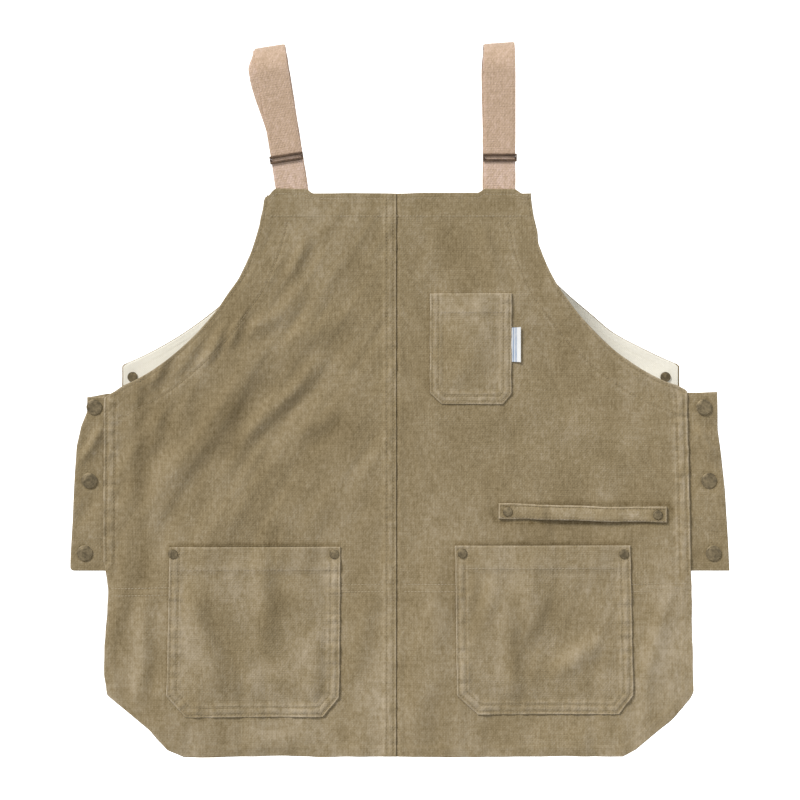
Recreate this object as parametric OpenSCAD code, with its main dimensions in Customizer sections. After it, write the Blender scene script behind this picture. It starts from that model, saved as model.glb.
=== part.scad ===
// Canvas work apron: bib front in two halves, patch pockets, snap tabs at the sides, and a short back
// panel that hangs from two webbing shoulder straps. Millimetres, +Z up, the front faces -Y.
// The origin is under the strap crowns, where a pair of shoulders or a hanger carries the apron.

/* [Front] */
// Half width of the bib at its top edge
bib_half = 132; // [126:1:136]
// Drop from the shoulder line to the bib's top edge
bib_drop = 148; // [144:1:160]
// Drop from the shoulder line to the bottom edge
hem_drop = 712; // [700:1:800]
// Half width where the armhole ends
side_half = 288; // [286:1:290]
// Half width at the foot of the side edges
foot_half = 294; // [292:1:298]
// Height of the cut corners at the foot
foot_cut_h = 65; // [40:1:80]
// Width of the cut corners at the foot
foot_cut_w = 74; // [40:1:90]
// Thickness of the canvas
canvas_t = 1.2; // [0.8:0.1:1.4]

/* [Side tabs] */
// Drop from the shoulder line to the tabs' top edge
tab_drop = 349; // [347:1:352]
// Height of a tab
tab_h = 177; // [170:1:185]
// Thickness of a tab, which is canvas folded double
tab_t = 2; // [1.6:0.1:2.2]
// Distance of a tab's outer edge from the centre line, at its top
tab_top_half = 317; // [314:1:322]
// Distance of a tab's outer edge from the centre line, at its foot
tab_foot_half = 328.5; // [326:0.5:334]

/* [Pockets] */
// Distance of the lower pockets' inner edge from the centre line
pocket_in = 58; // [40:1:70]
// Width of a lower pocket
pocket_w = 174; // [160:1:180]
// Height of a lower pocket
pocket_h = 169; // [140:1:175]
// Drop from the shoulder line to the lower pockets' mouths
pocket_drop = 502; // [495:1:510]
// Width of the chest pocket
chest_w = 82; // [70:1:90]
// Height of the chest pocket
chest_h = 110; // [90:1:120]
// Depth of the room inside a pocket
pocket_room = 5; // [4.6:0.1:7]

/* [Straps] */
// Width of the webbing
strap_w = 31; // [28:0.5:32]
// Thickness of one layer of webbing
strap_t = 1.3; // [1.2:0.1:1.6]
// Radius of the crown, under both layers of webbing
crown_r = 28; // [26:1:36]
// Outward lean of the left strap, in degrees
left_lean = 9; // [0:0.5:10]
// Drop from the shoulder line to the sliders
slider_drop = 112.5; // [110:0.5:116]

/* [Back panel] */
// Half width of the back panel
back_half = 287; // [284:1:288]
// Drop from the shoulder line to its top edge
back_drop = 192; // [190:1:196]
// Drop from the shoulder line to its bottom edge
back_foot_drop = 497; // [490:1:520]

/* [Snaps and rivets] */
// Radius of a snap's cap
cap_r = 7.7; // [6.5:0.1:8]
// Radius of a rivet's head
rivet_r = 4.6; // [4:0.1:5]

/* [Hidden] */
$fn = 64;

canvas = "#8f7f60";
ecru = "#dcd4c2";
webbing = "#c4ab95";
bronze = "#4d4136";
snap_metal = "#7a6a54";
thread_white = "#eef0f0";

clear = 0.05;                                // radial gap of a shank in its hole
eps = 0.01;

// Levels in Y, from the front face of the panel backwards
strap_y = -crown_r - 2 * strap_t;            // front face of the webbing in front
panel_y = strap_y - canvas_t;                // front face of the front panel
lining_t = 0.6;
lining_y = strap_y;
facing_t = 0.8;
facing_y = lining_y + lining_t;
hem_t = strap_t + canvas_t;                  // the bib hem, which holds the strap ends inside

// Front outline
armhole = [[bib_half, -bib_drop], [bib_half + 4, -bib_drop - 74],
           [side_half - 98, -tab_drop + 37], [side_half, -tab_drop + 4]];
edge_foot = [side_half + 4, -tab_drop - tab_h - 1];
foot_top = [foot_half, -hem_drop + foot_cut_h];
foot_end = [foot_half - foot_cut_w, -hem_drop];
seam_x = -2.6;                               // the folded edge of the centre seam
lap_w = 10;
lap_t = 0.8;
bib_hem_h = 24;
lining_foot = -547;
facing_w = 30;
inner_edge = 284;                            // linings and facings stop here, clear of the tabs

// Straps, sliders and rings
left_x = -107;
right_x = 101;
strap_mid_y = crown_r + strap_t;             // between the two layers, behind
fold_in = 1.6;                               // inner radius where webbing folds over a bar
bar_r = 1.25;
slider_bar_r = 1.15;
slider_bar_z = 2.7;
slider_rail_w = 1;
slider_gap = 0.35;                           // between the webbing's edge and a rail
slider_tail = 35;
slider_fold_t = 1;
slider_fold_y = -strap_mid_y + 0.3 + bar_r + clear + slider_fold_t;
crown_steps = 40;
return_end = -30;                            // where the fixed part of the inner layer ends in front
ring_drop = 172;
ring_pitch = 12;
ring_post = 1.8;
ring_tab_w = 28;
ring_tab_t = 1;
ring_tab_h = 28;

// Back panel levels and outline
back_out_y = strap_mid_y + fold_in;          // outer face of the back panel
back_in_y = strap_mid_y - fold_in;
back_hem_h = 22;
back_armhole = [[126, -back_drop], [136, -back_drop - 23], [205, -288], [back_half, -319]];

// Snaps: places on the right tab, and on the right end of the back panel
snaps = [[305, -362], [310, -435.5], [314.5, -508]];
studs = [[272.5, -331.5], [270.5, -405], [268.5, -477.5]];
shank_r = 1.5;
cap_h = 2.2;
socket_r = 5.2;
socket_h = 2.4;
socket_bore_r = 2;
socket_base = 0.8;
stud_r = 1.9;
stud_base_h = 0.9;
stud_h = 1.7;
post_h = 1.1;

// Pockets, loop and label
pocket_cut = [17, 19.5];
chest_cut = [8.5, 10];
chest_x = 30.5;
chest_drop = 249;
pocket_wall = 2.5;
pocket_depth = pocket_room + canvas_t;
rivet_in = 6.5;
rivet_head_h = 1.4;
washer_h = 0.8;
rivet_xs = [pocket_in + rivet_in, pocket_in + pocket_w - rivet_in];
rivet_z = -pocket_drop - rivet_in;
loop_x = [99, 267];
loop_z = -475.5;
loop_h = 15.5;
loop_t = 1.6;
loop_foot = 20;                              // length of each riveted end
loop_ramp = 8;
loop_room = 5.2;
loop_rivet_xs = [loop_x[0] + 9.5, loop_x[1] - 9.5];
loop_rivet_z = loop_z + loop_h / 2;
label_w = 11;
label_h = 34;
label_t = 1.2;
label_drop = 316.5;

function bezier(p, t) =
    pow(1 - t, 3) * p[0] + 3 * pow(1 - t, 2) * t * p[1] + 3 * (1 - t) * t * t * p[2] + t * t * t * p[3];
function slope(p, t) =
    3 * pow(1 - t, 2) * (p[1] - p[0]) + 6 * (1 - t) * t * (p[2] - p[1]) + 3 * t * t * (p[3] - p[2]);
function curve(p, n = 20) = [for (i = [0:n]) bezier(p, i / n)];
// The same curve, moved inwards by d
function inset(p, d, n = 20) =
    [for (i = [0:n]) let (s = slope(p, i / n), m = norm(s)) bezier(p, i / n) + d * [s[1], -s[0]] / m];
function reversed(list) = [for (i = [len(list) - 1:-1:0]) list[i]];

// A flat sheet: a 2D outline in X and Z, from y to y + t
module sheet(y, t) {
    translate([0, y + t, 0]) rotate([90, 0, 0]) linear_extrude(t) children();
}

// A round piece along +Y from [x, y, z]
module round_y(x, y, z, r, h) {
    translate([x, y, z]) rotate([-90, 0, 0]) cylinder(r = r, h = h);
}

// The right half of the front's outline, downwards, and the two halves and the whole of it
front_edge = concat([[seam_x, -bib_drop]], curve(armhole), [edge_foot, foot_top, foot_end, [seam_x, -hem_drop]]);
left_edge = [for (p = front_edge) [p[0] == seam_x ? seam_x : -p[0], p[1]]];
module front_half() { polygon(front_edge); }
module front_half_left() { polygon(reversed(left_edge)); }
module front_whole() {
    side = concat(curve(armhole), [edge_foot, foot_top, foot_end]);
    polygon(concat(side, [for (p = reversed(side)) [-p[0], p[1]]]));
}

module rivet_holes() {
    for (x = rivet_xs, side = [-1, 1]) round_y(side * x, panel_y - 50, rivet_z, shank_r + clear, 100);
    for (x = loop_rivet_xs) round_y(x, panel_y - 50, loop_rivet_z, shank_r + clear, 100);
}

module front_panel_left() {
    color(canvas) difference() {
        union() {
            sheet(panel_y, canvas_t) front_half_left();
            sheet(panel_y - lap_t, lap_t + eps)
                translate([seam_x - lap_w, -hem_drop]) square([lap_w, hem_drop - bib_drop]);
        }
        rivet_holes();
    }
}

module front_panel_right() {
    color(canvas) difference() {
        sheet(panel_y, canvas_t) front_half();
        rivet_holes();
    }
}

// The inside of the bib's top hem, with the two strap ends let into it
module bib_hem_facing() {
    color(canvas) difference() {
        sheet(lining_y, hem_t)
            translate([-bib_half + 1, -bib_drop - bib_hem_h]) square([2 * bib_half - 2, bib_hem_h]);
        strap_left();
        strap_right();
    }
}

module front_lining() {
    lining_top = -bib_drop - bib_hem_h;
    color(ecru) difference() {
        intersection() {
            sheet(lining_y, lining_t) front_whole();
            translate([-inner_edge, lining_y - 1, lining_foot])
                cube([2 * inner_edge, lining_t + 2, lining_top - lining_foot]);
        }
        rivet_holes();
    }
}

module armhole_facing(side) {
    color(ecru) intersection() {
        sheet(facing_y, facing_t) scale([side, 1])
            polygon(concat(curve(armhole), reversed(inset(armhole, facing_w))));
        translate([-inner_edge, facing_y - 1, -2 * tab_drop])
            cube([2 * inner_edge, facing_t + 2, 2 * tab_drop - bib_drop - bib_hem_h]);
    }
}

// A patch pocket as a shallow pouch, open at the top, from x to the right and down from z
module pouch(x, z, w, h, cut) {
    in = pocket_wall;
    color(canvas) difference() {
        sheet(panel_y - pocket_depth, pocket_depth) polygon([
            [x, z], [x + w, z], [x + w, z - h + cut[1]], [x + w - cut[0], z - h],
            [x + cut[0], z - h], [x, z - h + cut[1]]]);
        sheet(panel_y - pocket_room, pocket_room + 1) polygon([
            [x + in, z + 1], [x + w - in, z + 1], [x + w - in, z - h + cut[1] + 1],
            [x + w - cut[0] - 1, z - h + in], [x + cut[0] + 1, z - h + in], [x + in, z - h + cut[1] + 1]]);
        rivet_holes();
    }
}

module pocket_label() {
    color(thread_white) translate([chest_x + chest_w, panel_y - label_t - 0.4, -label_drop])
        cube([label_w, label_t, label_h]);
}

// A rivet: a domed head at y and a shank through everything behind it
module rivet(x, y, z) {
    back = facing_y;
    color(bronze) translate([x, y, z]) rotate([-90, 0, 0]) union() {
        rotate_extrude() polygon([[0, -rivet_head_h], [rivet_r - 1.6, -rivet_head_h],
                                  [rivet_r - 0.4, -rivet_head_h / 2], [rivet_r, 0], [0, 0]]);
        cylinder(r = shank_r, h = back + washer_h - y);
    }
}

module pocket_rivets(side) {
    for (x = rivet_xs) rivet(side * x, panel_y - pocket_depth, rivet_z);
}

module tool_loop_rivets() {
    for (x = loop_rivet_xs) rivet(x, panel_y - loop_t, loop_rivet_z);
}

module washer(x, z) {
    difference() {
        round_y(x, facing_y, z, rivet_r - 0.6, washer_h);
        round_y(x, facing_y - 1, z, shank_r + clear, washer_h + 2);
    }
}

module rivet_washers() {
    color(bronze) {
        for (x = rivet_xs, side = [-1, 1]) washer(side * x, rivet_z);
        for (x = loop_rivet_xs) washer(x, loop_rivet_z);
    }
}

// A canvas strap riveted flat at both ends and standing off the panel between them
module tool_loop() {
    y = panel_y;
    a = loop_x[0];
    b = loop_x[1];
    color(canvas) difference() {
        translate([0, 0, loop_z]) linear_extrude(loop_h) polygon([
            [a, y], [a, y - loop_t], [a + loop_foot - 1, y - loop_t],
            [a + loop_foot + loop_ramp - 1, y - loop_t - loop_room],
            [b - loop_foot - loop_ramp + 1, y - loop_t - loop_room],
            [b - loop_foot + 1, y - loop_t], [b, y - loop_t], [b, y], [b - loop_foot, y],
            [b - loop_foot - loop_ramp, y - loop_room], [a + loop_foot + loop_ramp, y - loop_room],
            [a + loop_foot, y]]);
        rivet_holes();
    }
}

// One layer's side view from radius r outwards: front leg, crown, back leg
function arc(r, z) = [for (i = [0:crown_steps]) let (a = 180 - 180 * i / crown_steps) [r * cos(a), z + r * sin(a)]];
module strap_profile(r, front_z, back_z, centre_z) {
    polygon(concat([[-r - strap_t, front_z]], arc(r + strap_t, centre_z), [[r + strap_t, back_z], [r, back_z]],
                   reversed(arc(r, centre_z)), [[-r, front_z]]));
}

// Puts children on a strap that leans outwards by lean about its foot at x
module on_strap(x, lean) {
    translate([x, 0, -bib_drop]) rotate([0, -lean, 0]) translate([0, 0, bib_drop]) children();
}

module layer(x, lean, r, front_z, back_z) {
    rise = bib_drop / cos(lean) - bib_drop;
    on_strap(x, lean) rotate([90, 0, 90]) translate([0, 0, -strap_w / 2]) linear_extrude(strap_w)
        strap_profile(r, front_z, back_z, rise - crown_r);
}

// The outer layer: from the bib hem over the crown, down the back and round the ring's upper bar
module strap(x, lean) {
    back_end = -ring_drop + fold_in;
    ring_x = x + (ring_drop - bib_drop) * sin(lean);
    leg_end = back_end + strap_w / 2 * sin(lean) + 1;
    color(webbing) union() {
        layer(x, lean, crown_r + strap_t, -bib_drop - bib_hem_h + 2, leg_end);
        translate([ring_x - strap_w / 2, strap_mid_y, back_end]) cube([strap_w, strap_t, 9]);
        translate([ring_x - strap_w / 2, strap_mid_y, -ring_drop]) rotate([0, 90, 0]) difference() {
            cylinder(r = fold_in + strap_t, h = strap_w);
            translate([0, 0, -1]) cylinder(r = fold_in, h = strap_w + 2);
        }
    }
}
module strap_left() { strap(left_x, left_lean); }
module strap_right() { strap(right_x, 0); }

// The inner layer: from the ring back up and over the crown, towards the slider
module strap_return(x, lean) {
    color(webbing) layer(x, lean, crown_r, return_end, -ring_drop + fold_in + strap_t + 7);
}

// Two bars in front of the webbing and one behind it, held by a rail at each edge
module slider(x, lean) {
    half = strap_w / 2 + slider_gap;
    bar_y = strap_y - 0.15 - slider_bar_r;
    color(bronze) on_strap(x, lean) translate([0, 0, -slider_drop]) union() {
        for (z = [-slider_bar_z, slider_bar_z])
            translate([-half - 1, bar_y, z]) rotate([0, 90, 0]) cylinder(r = slider_bar_r, h = 2 * half + 2);
        translate([-half - 1, slider_fold_y, 0]) rotate([0, 90, 0]) cylinder(r = bar_r, h = 2 * half + 2);
        for (side = [-1, 1]) translate([side * (half + slider_rail_w / 2), (bar_y + slider_fold_y) / 2, 0])
            cube([slider_rail_w, slider_fold_y - bar_y + 2, 2 * slider_bar_z + 2], center = true);
    }
}

// The webbing's sewn end, folded over the slider's rear bar
module slider_webbing(x, lean) {
    inner = bar_r + clear;
    color(webbing) on_strap(x, lean) translate([-strap_w / 2, slider_fold_y, -slider_drop]) union() {
        rotate([0, 90, 0]) difference() {
            cylinder(r = inner + slider_fold_t, h = strap_w);
            translate([0, 0, -1]) cylinder(r = inner, h = strap_w + 2);
        }
        translate([0, -inner - slider_fold_t, 0]) cube([strap_w, slider_fold_t, slider_tail]);
    }
}

module side_tab(side) {
    color(canvas) difference() {
        sheet(strap_y, tab_t) scale([side, 1]) polygon([
            [side_half + 1.3, -tab_drop], [tab_top_half, -tab_drop],
            [tab_foot_half, -tab_drop - tab_h], [edge_foot[0] + 1.2, -tab_drop - tab_h]]);
        for (p = snaps) round_y(side * p[0], strap_y - 1, p[1], shank_r + clear, tab_t + 2);
    }
}

// Domed caps outside the tab, each with its shank through it
module snap_caps(side) {
    color(snap_metal) for (p = snaps)
        translate([side * p[0], strap_y, p[1]]) rotate([-90, 0, 0]) union() {
            rotate_extrude() polygon([[0, -cap_h], [cap_r - 3, -cap_h], [cap_r - 1, -cap_h + 0.6],
                                      [cap_r, -cap_h / 2], [cap_r - 0.3, 0], [0, 0]]);
            cylinder(r = shank_r, h = tab_t);
        }
}

// Sockets inside the tab, each with a blind bore that opens to the rear
module snap_sockets(side) {
    y = strap_y + tab_t;
    color(snap_metal) for (p = snaps) difference() {
        round_y(side * p[0], y, p[1], socket_r, socket_h);
        round_y(side * p[0], y + socket_base, p[1], socket_bore_r, socket_h);
    }
}

module strap_ring(x) {
    half = strap_w / 2 + slider_gap;
    color(bronze) translate([x, strap_mid_y, -ring_drop]) union() {
        for (z = [0, -ring_pitch])
            translate([-half - 1, 0, z]) rotate([0, 90, 0]) cylinder(r = bar_r, h = 2 * half + 2);
        for (side = [-1, 1]) translate([side * (half + ring_post / 2), 0, -ring_pitch / 2])
            cube([ring_post, 2 * bar_r, ring_pitch + 2 * bar_r], center = true);
    }
}
left_ring_x = left_x + (ring_drop - bib_drop) * sin(left_lean);
right_ring_x = right_x;

// A short webbing tab over the ring's lower bar, sewn to both faces of the back panel's hem
module ring_webbing(x) {
    z = -ring_drop - ring_pitch;
    color(webbing) union() {
        translate([x - ring_tab_w / 2, strap_mid_y, z]) rotate([0, 90, 0]) difference() {
            cylinder(r = fold_in + ring_tab_t, h = ring_tab_w);
            translate([0, 0, -1]) cylinder(r = fold_in, h = ring_tab_w + 2);
            translate([0, -fold_in - 2, -1]) cube([fold_in + 3, 2 * fold_in + 4, ring_tab_w + 2]);
        }
        for (y = [back_in_y - ring_tab_t, back_out_y])
            translate([x - ring_tab_w / 2, y, z - ring_tab_h]) cube([ring_tab_w, ring_tab_t, ring_tab_h + eps]);
    }
}

module back_half() {
    polygon(concat([[0, -back_drop]], curve(back_armhole), [[back_half, -back_foot_drop], [0, -back_foot_drop]]));
}
module back_whole() {
    side = concat(curve(back_armhole), [[back_half, -back_foot_drop]]);
    polygon(concat(side, [for (p = reversed(side)) [-p[0], p[1]]]));
}

module stud_holes() {
    for (p = studs, side = [-1, 1]) round_y(side * p[0], back_in_y - 5, p[1], shank_r + clear, 20);
}

module back_panel(side) {
    color(canvas) difference() {
        sheet(back_out_y - canvas_t, canvas_t) scale([side, 1]) back_half();
        stud_holes();
    }
}

module back_hem_facing() {
    w = back_armhole[0][0] - 1;
    color(canvas) sheet(back_in_y, back_out_y - canvas_t - back_in_y)
        translate([-w, -back_drop - back_hem_h]) square([2 * w, back_hem_h]);
}

module back_lining() {
    y = back_out_y - canvas_t - lining_t;
    color(ecru) difference() {
        intersection() {
            sheet(y, lining_t) back_whole();
            translate([-back_half - 1, y - 1, -back_foot_drop + 1])
                cube([2 * back_half + 2, lining_t + 2, back_foot_drop - 1 - back_drop - back_hem_h]);
        }
        stud_holes();
    }
}

// Studs outside the back panel's ends
module snap_studs(side) {
    color(snap_metal) for (p = studs) union() {
        round_y(side * p[0], back_out_y, p[1], 5, stud_base_h);
        round_y(side * p[0], back_out_y, p[1], stud_r, stud_base_h + stud_h);
    }
}

// Posts inside the back panel's ends, whose shanks carry the studs
module snap_posts(side) {
    y = back_out_y - canvas_t - lining_t;
    color(snap_metal) for (p = studs) union() {
        round_y(side * p[0], y - post_h, p[1], 5.2, post_h);
        round_y(side * p[0], y - eps, p[1], shank_r, canvas_t + lining_t + eps);
    }
}

front_panel_left();
front_panel_right();
bib_hem_facing();
front_lining();
armhole_facing(-1);  // armhole_facing_left
armhole_facing(1);  // armhole_facing_right
pouch(-pocket_in - pocket_w, -pocket_drop, pocket_w, pocket_h, pocket_cut);  // pocket_left
pouch(pocket_in, -pocket_drop, pocket_w, pocket_h, pocket_cut);  // pocket_right
pouch(chest_x, -chest_drop, chest_w, chest_h, chest_cut);  // pocket_chest
pocket_label();
pocket_rivets(-1);  // pocket_rivets_left
pocket_rivets(1);  // pocket_rivets_right
rivet_washers();
tool_loop();
tool_loop_rivets();
strap_left();
strap_right();
strap_return(left_x, left_lean);  // strap_return_left
strap_return(right_x, 0);  // strap_return_right
slider(left_x, left_lean);  // slider_left
slider(right_x, 0);  // slider_right
slider_webbing(left_x, left_lean);  // slider_webbing_left
slider_webbing(right_x, 0);  // slider_webbing_right
side_tab(-1);  // side_tab_left
side_tab(1);  // side_tab_right
snap_caps(-1);  // snap_caps_left
snap_caps(1);  // snap_caps_right
snap_sockets(-1);  // snap_sockets_left
snap_sockets(1);  // snap_sockets_right
strap_ring(left_ring_x);  // strap_ring_left
strap_ring(right_ring_x);  // strap_ring_right
back_panel(-1);  // back_panel_left
back_panel(1);  // back_panel_right
back_hem_facing();
back_lining();
ring_webbing(left_ring_x);  // ring_webbing_left
ring_webbing(right_ring_x);  // ring_webbing_right
snap_studs(-1);  // snap_studs_left
snap_studs(1);  // snap_studs_right
snap_posts(-1);  // snap_posts_left
snap_posts(1);  // snap_posts_right
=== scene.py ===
import math
import bpy
import numpy as np
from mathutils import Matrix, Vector


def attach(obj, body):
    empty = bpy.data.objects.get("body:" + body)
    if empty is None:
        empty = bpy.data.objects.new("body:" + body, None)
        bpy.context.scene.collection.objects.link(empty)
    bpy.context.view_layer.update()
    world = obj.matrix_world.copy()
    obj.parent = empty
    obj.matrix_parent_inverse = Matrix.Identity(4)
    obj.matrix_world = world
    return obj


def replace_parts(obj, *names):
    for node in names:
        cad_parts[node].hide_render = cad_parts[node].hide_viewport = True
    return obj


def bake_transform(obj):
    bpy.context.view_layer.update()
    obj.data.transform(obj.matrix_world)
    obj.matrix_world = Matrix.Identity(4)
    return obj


# A canvas work apron: cloth, webbing, stitching, materials, light and camera. A side is -1 for the left
# half and 1 for the right half, as seen from the front.
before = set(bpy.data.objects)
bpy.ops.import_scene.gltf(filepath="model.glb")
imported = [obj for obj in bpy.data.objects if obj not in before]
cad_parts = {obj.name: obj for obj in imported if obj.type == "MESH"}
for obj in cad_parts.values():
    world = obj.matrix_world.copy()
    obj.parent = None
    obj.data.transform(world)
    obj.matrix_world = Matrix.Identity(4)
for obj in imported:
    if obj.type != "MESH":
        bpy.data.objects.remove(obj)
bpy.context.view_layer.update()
FRONT = "apron_front"
NAME = {-1: "left", 1: "right"}

# ---------------------------------------------------------------- sizes that part.scad has too
CANVAS_T = 1.2
STRAP_Y = -30.6            # back face of the front panel, front face of the webbing
PANEL_Y = STRAP_Y - CANVAS_T
BIB_Z, HEM_Z, BIB_HEM = -148.0, -712.0, 24.0
HEM_FOOT = BIB_Z - BIB_HEM
SEAM_X = -2.6
TAB_TOP, TAB_FOOT = -349.0, -526.0
LINING_FOOT = -547.0
ARMHOLE = [(132, -148), (136, -222), (190, -312), (288, -345)]
BACK_ARMHOLE = [(126, -192), (136, -215), (205, -288), (287, -319)]
BACK_TOP, BACK_FOOT, BACK_HEM = -192.0, -497.0, 22.0
BACK_OUT = 30.9            # outer face of the back panel
STRAPS = {"left": (-107.0, 9.0), "right": (101.0, 0.0)}     # place at the bib's edge, lean in degrees
SNAPS = [(305, -362), (310, -435.5), (314.5, -508)]
STUDS = [(272.5, -331.5), (270.5, -405), (268.5, -477.5)]
RING_Z, RING_Y, RING_PITCH = -172.0, 29.3, 12.0
SLIDER_Z = -112.5
CROWN_R = 28.0

# ---------------------------------------------------------------- finer sizes of the cloth
# The sides below the armholes, downwards, as half width and height
SIDE = {
    1: [(292.3, -527), (294.6, -647), (291.5, -654), (273, -675), (237, -705), (224, -712)],
    -1: [(295.2, -353), (295.8, -516), (293, -531), (291, -543), (291.6, -572), (294.8, -600), (295, -630),
         (292, -650), (249.5, -685), (231.5, -705), (215, -712)],
}
PULLED_X = (-108, 101)                                 # where the straps pull the bib's edge up
MOUTHS = [(-143.5, -500.5, 86), (143.8, -499, 88)]     # middle and half width of the two big pockets' mouths
LOOP_SHADE = (103, 264, -468, 9.5)                     # round the tool loop: ends, height and half height
WAIST_Z = -539                                         # the upper row that holds the lining's foot
TAB_IN = 284.8                                         # the edge of a side tab that is sewn under the panel
FINE, FINEST = 0.36, 0.34                              # widths of the thinner threads
# Rows of stitching: distances from the edge or seam that they follow
BIB_ROWS, ARM_ROWS, SEAM_ROWS, TAB_ROWS = (5.5, 23.0), (3.0, 26.5), (3.0, 10.0), (3.2, 11.0)
BACK_TOP_ROWS, BACK_ROWS, BACK_SEAM_ROWS = (4.5, 20.0), (3.0, 10.0), (4.0, 10.5)
WAIST_GAP = 7.3            # from that row at the lining's foot down to the next
# The pockets' sewn edges: down the left side, along the foot and up the right side
OUTLINES = {
    "pocket_left": [
        (-229, -502), (-232.3, -650.5), (-213, -672.3), (-76, -672.3), (-59.5, -652.5), (-58.5, -502)],
    "pocket_right": [
        (56, -500.5), (57.8, -650), (78.5, -669.3), (220, -669.5), (234.6, -650.5), (231.5, -501.5)],
    "pocket_chest": [
        (31, -248.5), (30.6, -348), (42.5, -359.2), (104.3, -359), (112.4, -349), (112.8, -248)],
}


# ---------------------------------------------------------------- small maths
def noise(x, z, size, seed):
    """Smooth noise between -1 and 1 with features of the given size."""
    u, v = np.asarray(x) / size, np.asarray(z) / size
    u, v = np.broadcast_arrays(u, v)
    i, j = np.floor(u).astype(np.int64), np.floor(v).astype(np.int64)
    fu, fv = u - i, v - j
    fu = fu * fu * fu * (fu * (fu * 6 - 15) + 10)
    fv = fv * fv * fv * (fv * (fv * 6 - 15) + 10)

    def corner(a, b):
        n = (a * 374761393 + b * 668265263 + seed * 974634777) & 0xFFFFFFFF
        n = ((n ^ (n >> 13)) * 1274126177) & 0xFFFFFFFF
        return ((n ^ (n >> 16)) & 0xFFFF) / 32767.5 - 1

    low = corner(i, j) * (1 - fu) + corner(i + 1, j) * fu
    high = corner(i, j + 1) * (1 - fu) + corner(i + 1, j + 1) * fu
    return low * (1 - fv) + high * fv


def bell(d, width):
    return np.exp(-((d / width) ** 2))


def step(a, b, v):
    """0 below a, 1 above b, smooth between (a may be above b)."""
    t = np.clip((v - a) / (b - a), 0, 1)
    return t * t * (3 - 2 * t)


def bezier(p, n=60):
    t = np.linspace(0, 1, n)[:, None]
    p = np.array(p, float)
    return (1 - t) ** 3 * p[0] + 3 * (1 - t) ** 2 * t * p[1] + 3 * (1 - t) * t * t * p[2] + t ** 3 * p[3]


def arc_length(points):
    """How far along a polyline each of its points is."""
    return np.concatenate([[0], np.cumsum(np.hypot(*np.diff(np.asarray(points, float), axis=0).T))])


def distance(x, z, line):
    """Distance from points to a polyline, and how far along it the nearest point is."""
    x, z = np.broadcast_arrays(np.asarray(x, float), np.asarray(z, float))
    line = np.array(line, float)
    best, along = np.full(x.shape, 1e9), np.zeros(x.shape)
    run = 0.0
    for (ax, az), (bx, bz) in zip(line[:-1], line[1:]):
        ex, ez = bx - ax, bz - az
        length = math.hypot(ex, ez)
        t = np.clip(((x - ax) * ex + (z - az) * ez) / (length * length), 0, 1)
        d = np.hypot(x - ax - t * ex, z - az - t * ez)
        near = d < best
        best = np.where(near, d, best)
        along = np.where(near, run + t * length, along)
        run += length
    return best, along


def beside(x, z, ax, az, bx, bz):
    """Where points lie by the line from a to b: share of the way along it, and distance to one side."""
    ex, ez = bx - ax, bz - az
    length = math.hypot(ex, ez)
    return ((x - ax) * ex + (z - az) * ez) / length ** 2, ((x - ax) * ez - (z - az) * ex) / length


def nearest(x, z, spots):
    """Distance to the nearest of some spots."""
    return np.minimum.reduce([np.hypot(x - sx, z - sz) for sx, sz in spots])


def held(x, z, spots):
    """0 at each spot (x, z, radius) and 1 well away from them all."""
    free = 1.0
    for sx, sz, r in spots:
        free = free * (1 - bell(np.hypot(x - sx, z - sz), r))
    return free


def corner_round(edge, r):
    """Share of r that a rounded edge draws back, at a distance from it: 1 on the edge, 0 beyond r."""
    t = np.clip(edge / r, 0, 1)
    return 1 - np.sqrt(np.clip(1 - (1 - t) ** 2, 0, 1))


def rounded(edge, r, y, outward):
    """Rounds a face over near an edge: the face moves by up to r away from its outward side."""
    return y - outward * r * corner_round(edge, r)


def crest(x, z, fold, sway):
    """Height of a fold (crest from x, z to x, z, height, half width) whose line sways sideways."""
    t, d = beside(x, z, *fold[:4])
    height, width = fold[4:]
    return height * bell(d + sway, width) * step(-0.15, 0.3, t) * step(1.15, 0.7, t)


def points(x, z):
    """Points (x, z) of a line; either may be one number."""
    return np.stack(np.broadcast_arrays(x, z), -1)


def mirrored(line, side):
    return np.array(line) * [side, 1]


def flipped(*grids):
    """Grids with the order of their columns turned round."""
    return [g[:, ::-1] for g in grids]


def offset_line(line, d):
    """The polyline moved by d towards its left-hand side, as seen in x and z."""
    line = np.array(line, float)
    t = np.gradient(line, axis=0)
    n = np.stack([t[:, 1], -t[:, 0]], -1) / np.hypot(t[:, 0], t[:, 1])[:, None]
    return line + d * n


def inset_path(points, d):
    """An open polyline moved by d towards its left-hand side, with mitred corners."""
    p = np.array(points, float)
    u = np.diff(p, axis=0)
    u /= np.hypot(u[:, 0], u[:, 1])[:, None]
    n = np.stack([-u[:, 1], u[:, 0]], -1)
    out = [p[0] + d * n[0]]
    for i in range(1, len(p) - 1):
        m = n[i - 1] + n[i]
        out.append(p[i] + d * m / (m @ n[i]))
    return np.array(out + [p[-1] + d * n[-1]])


def trim(line, d):
    """Takes d off both ends of a polyline."""
    line = np.array(line, float)
    a, b = line[1] - line[0], line[-2] - line[-1]
    line[0] += d * a / np.hypot(*a)
    line[-1] += d * b / np.hypot(*b)
    return line


# ---------------------------------------------------------------- outlines
def arm_line(side):
    """The front armhole of one side, as half width and height: the two were not cut quite alike."""
    x, z = bezier(ARMHOLE).T
    if side < 0:
        x = x + (3.2 + 2.0 * step(-232, -250, z)) * step(-146, -150, z) * step(-345, -300, z)
        z = z - 3.4 * step(274, 288, x)
    else:
        x = x - 2.0 * step(-185, -200, z) * step(-262, -235, z)
        z = z + 1.6 * bell(x - 277, 6)
    return np.stack([x, z], -1)


def back_line(side):
    """The back armhole of one side, as half width and height."""
    x, z = bezier(BACK_ARMHOLE).T
    drawn_in = 3.6 * step(-196, -215, z) if side < 0 else 4.0 * bell(z + 286, 13)
    return np.stack([x - drawn_in, z], -1)


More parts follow.
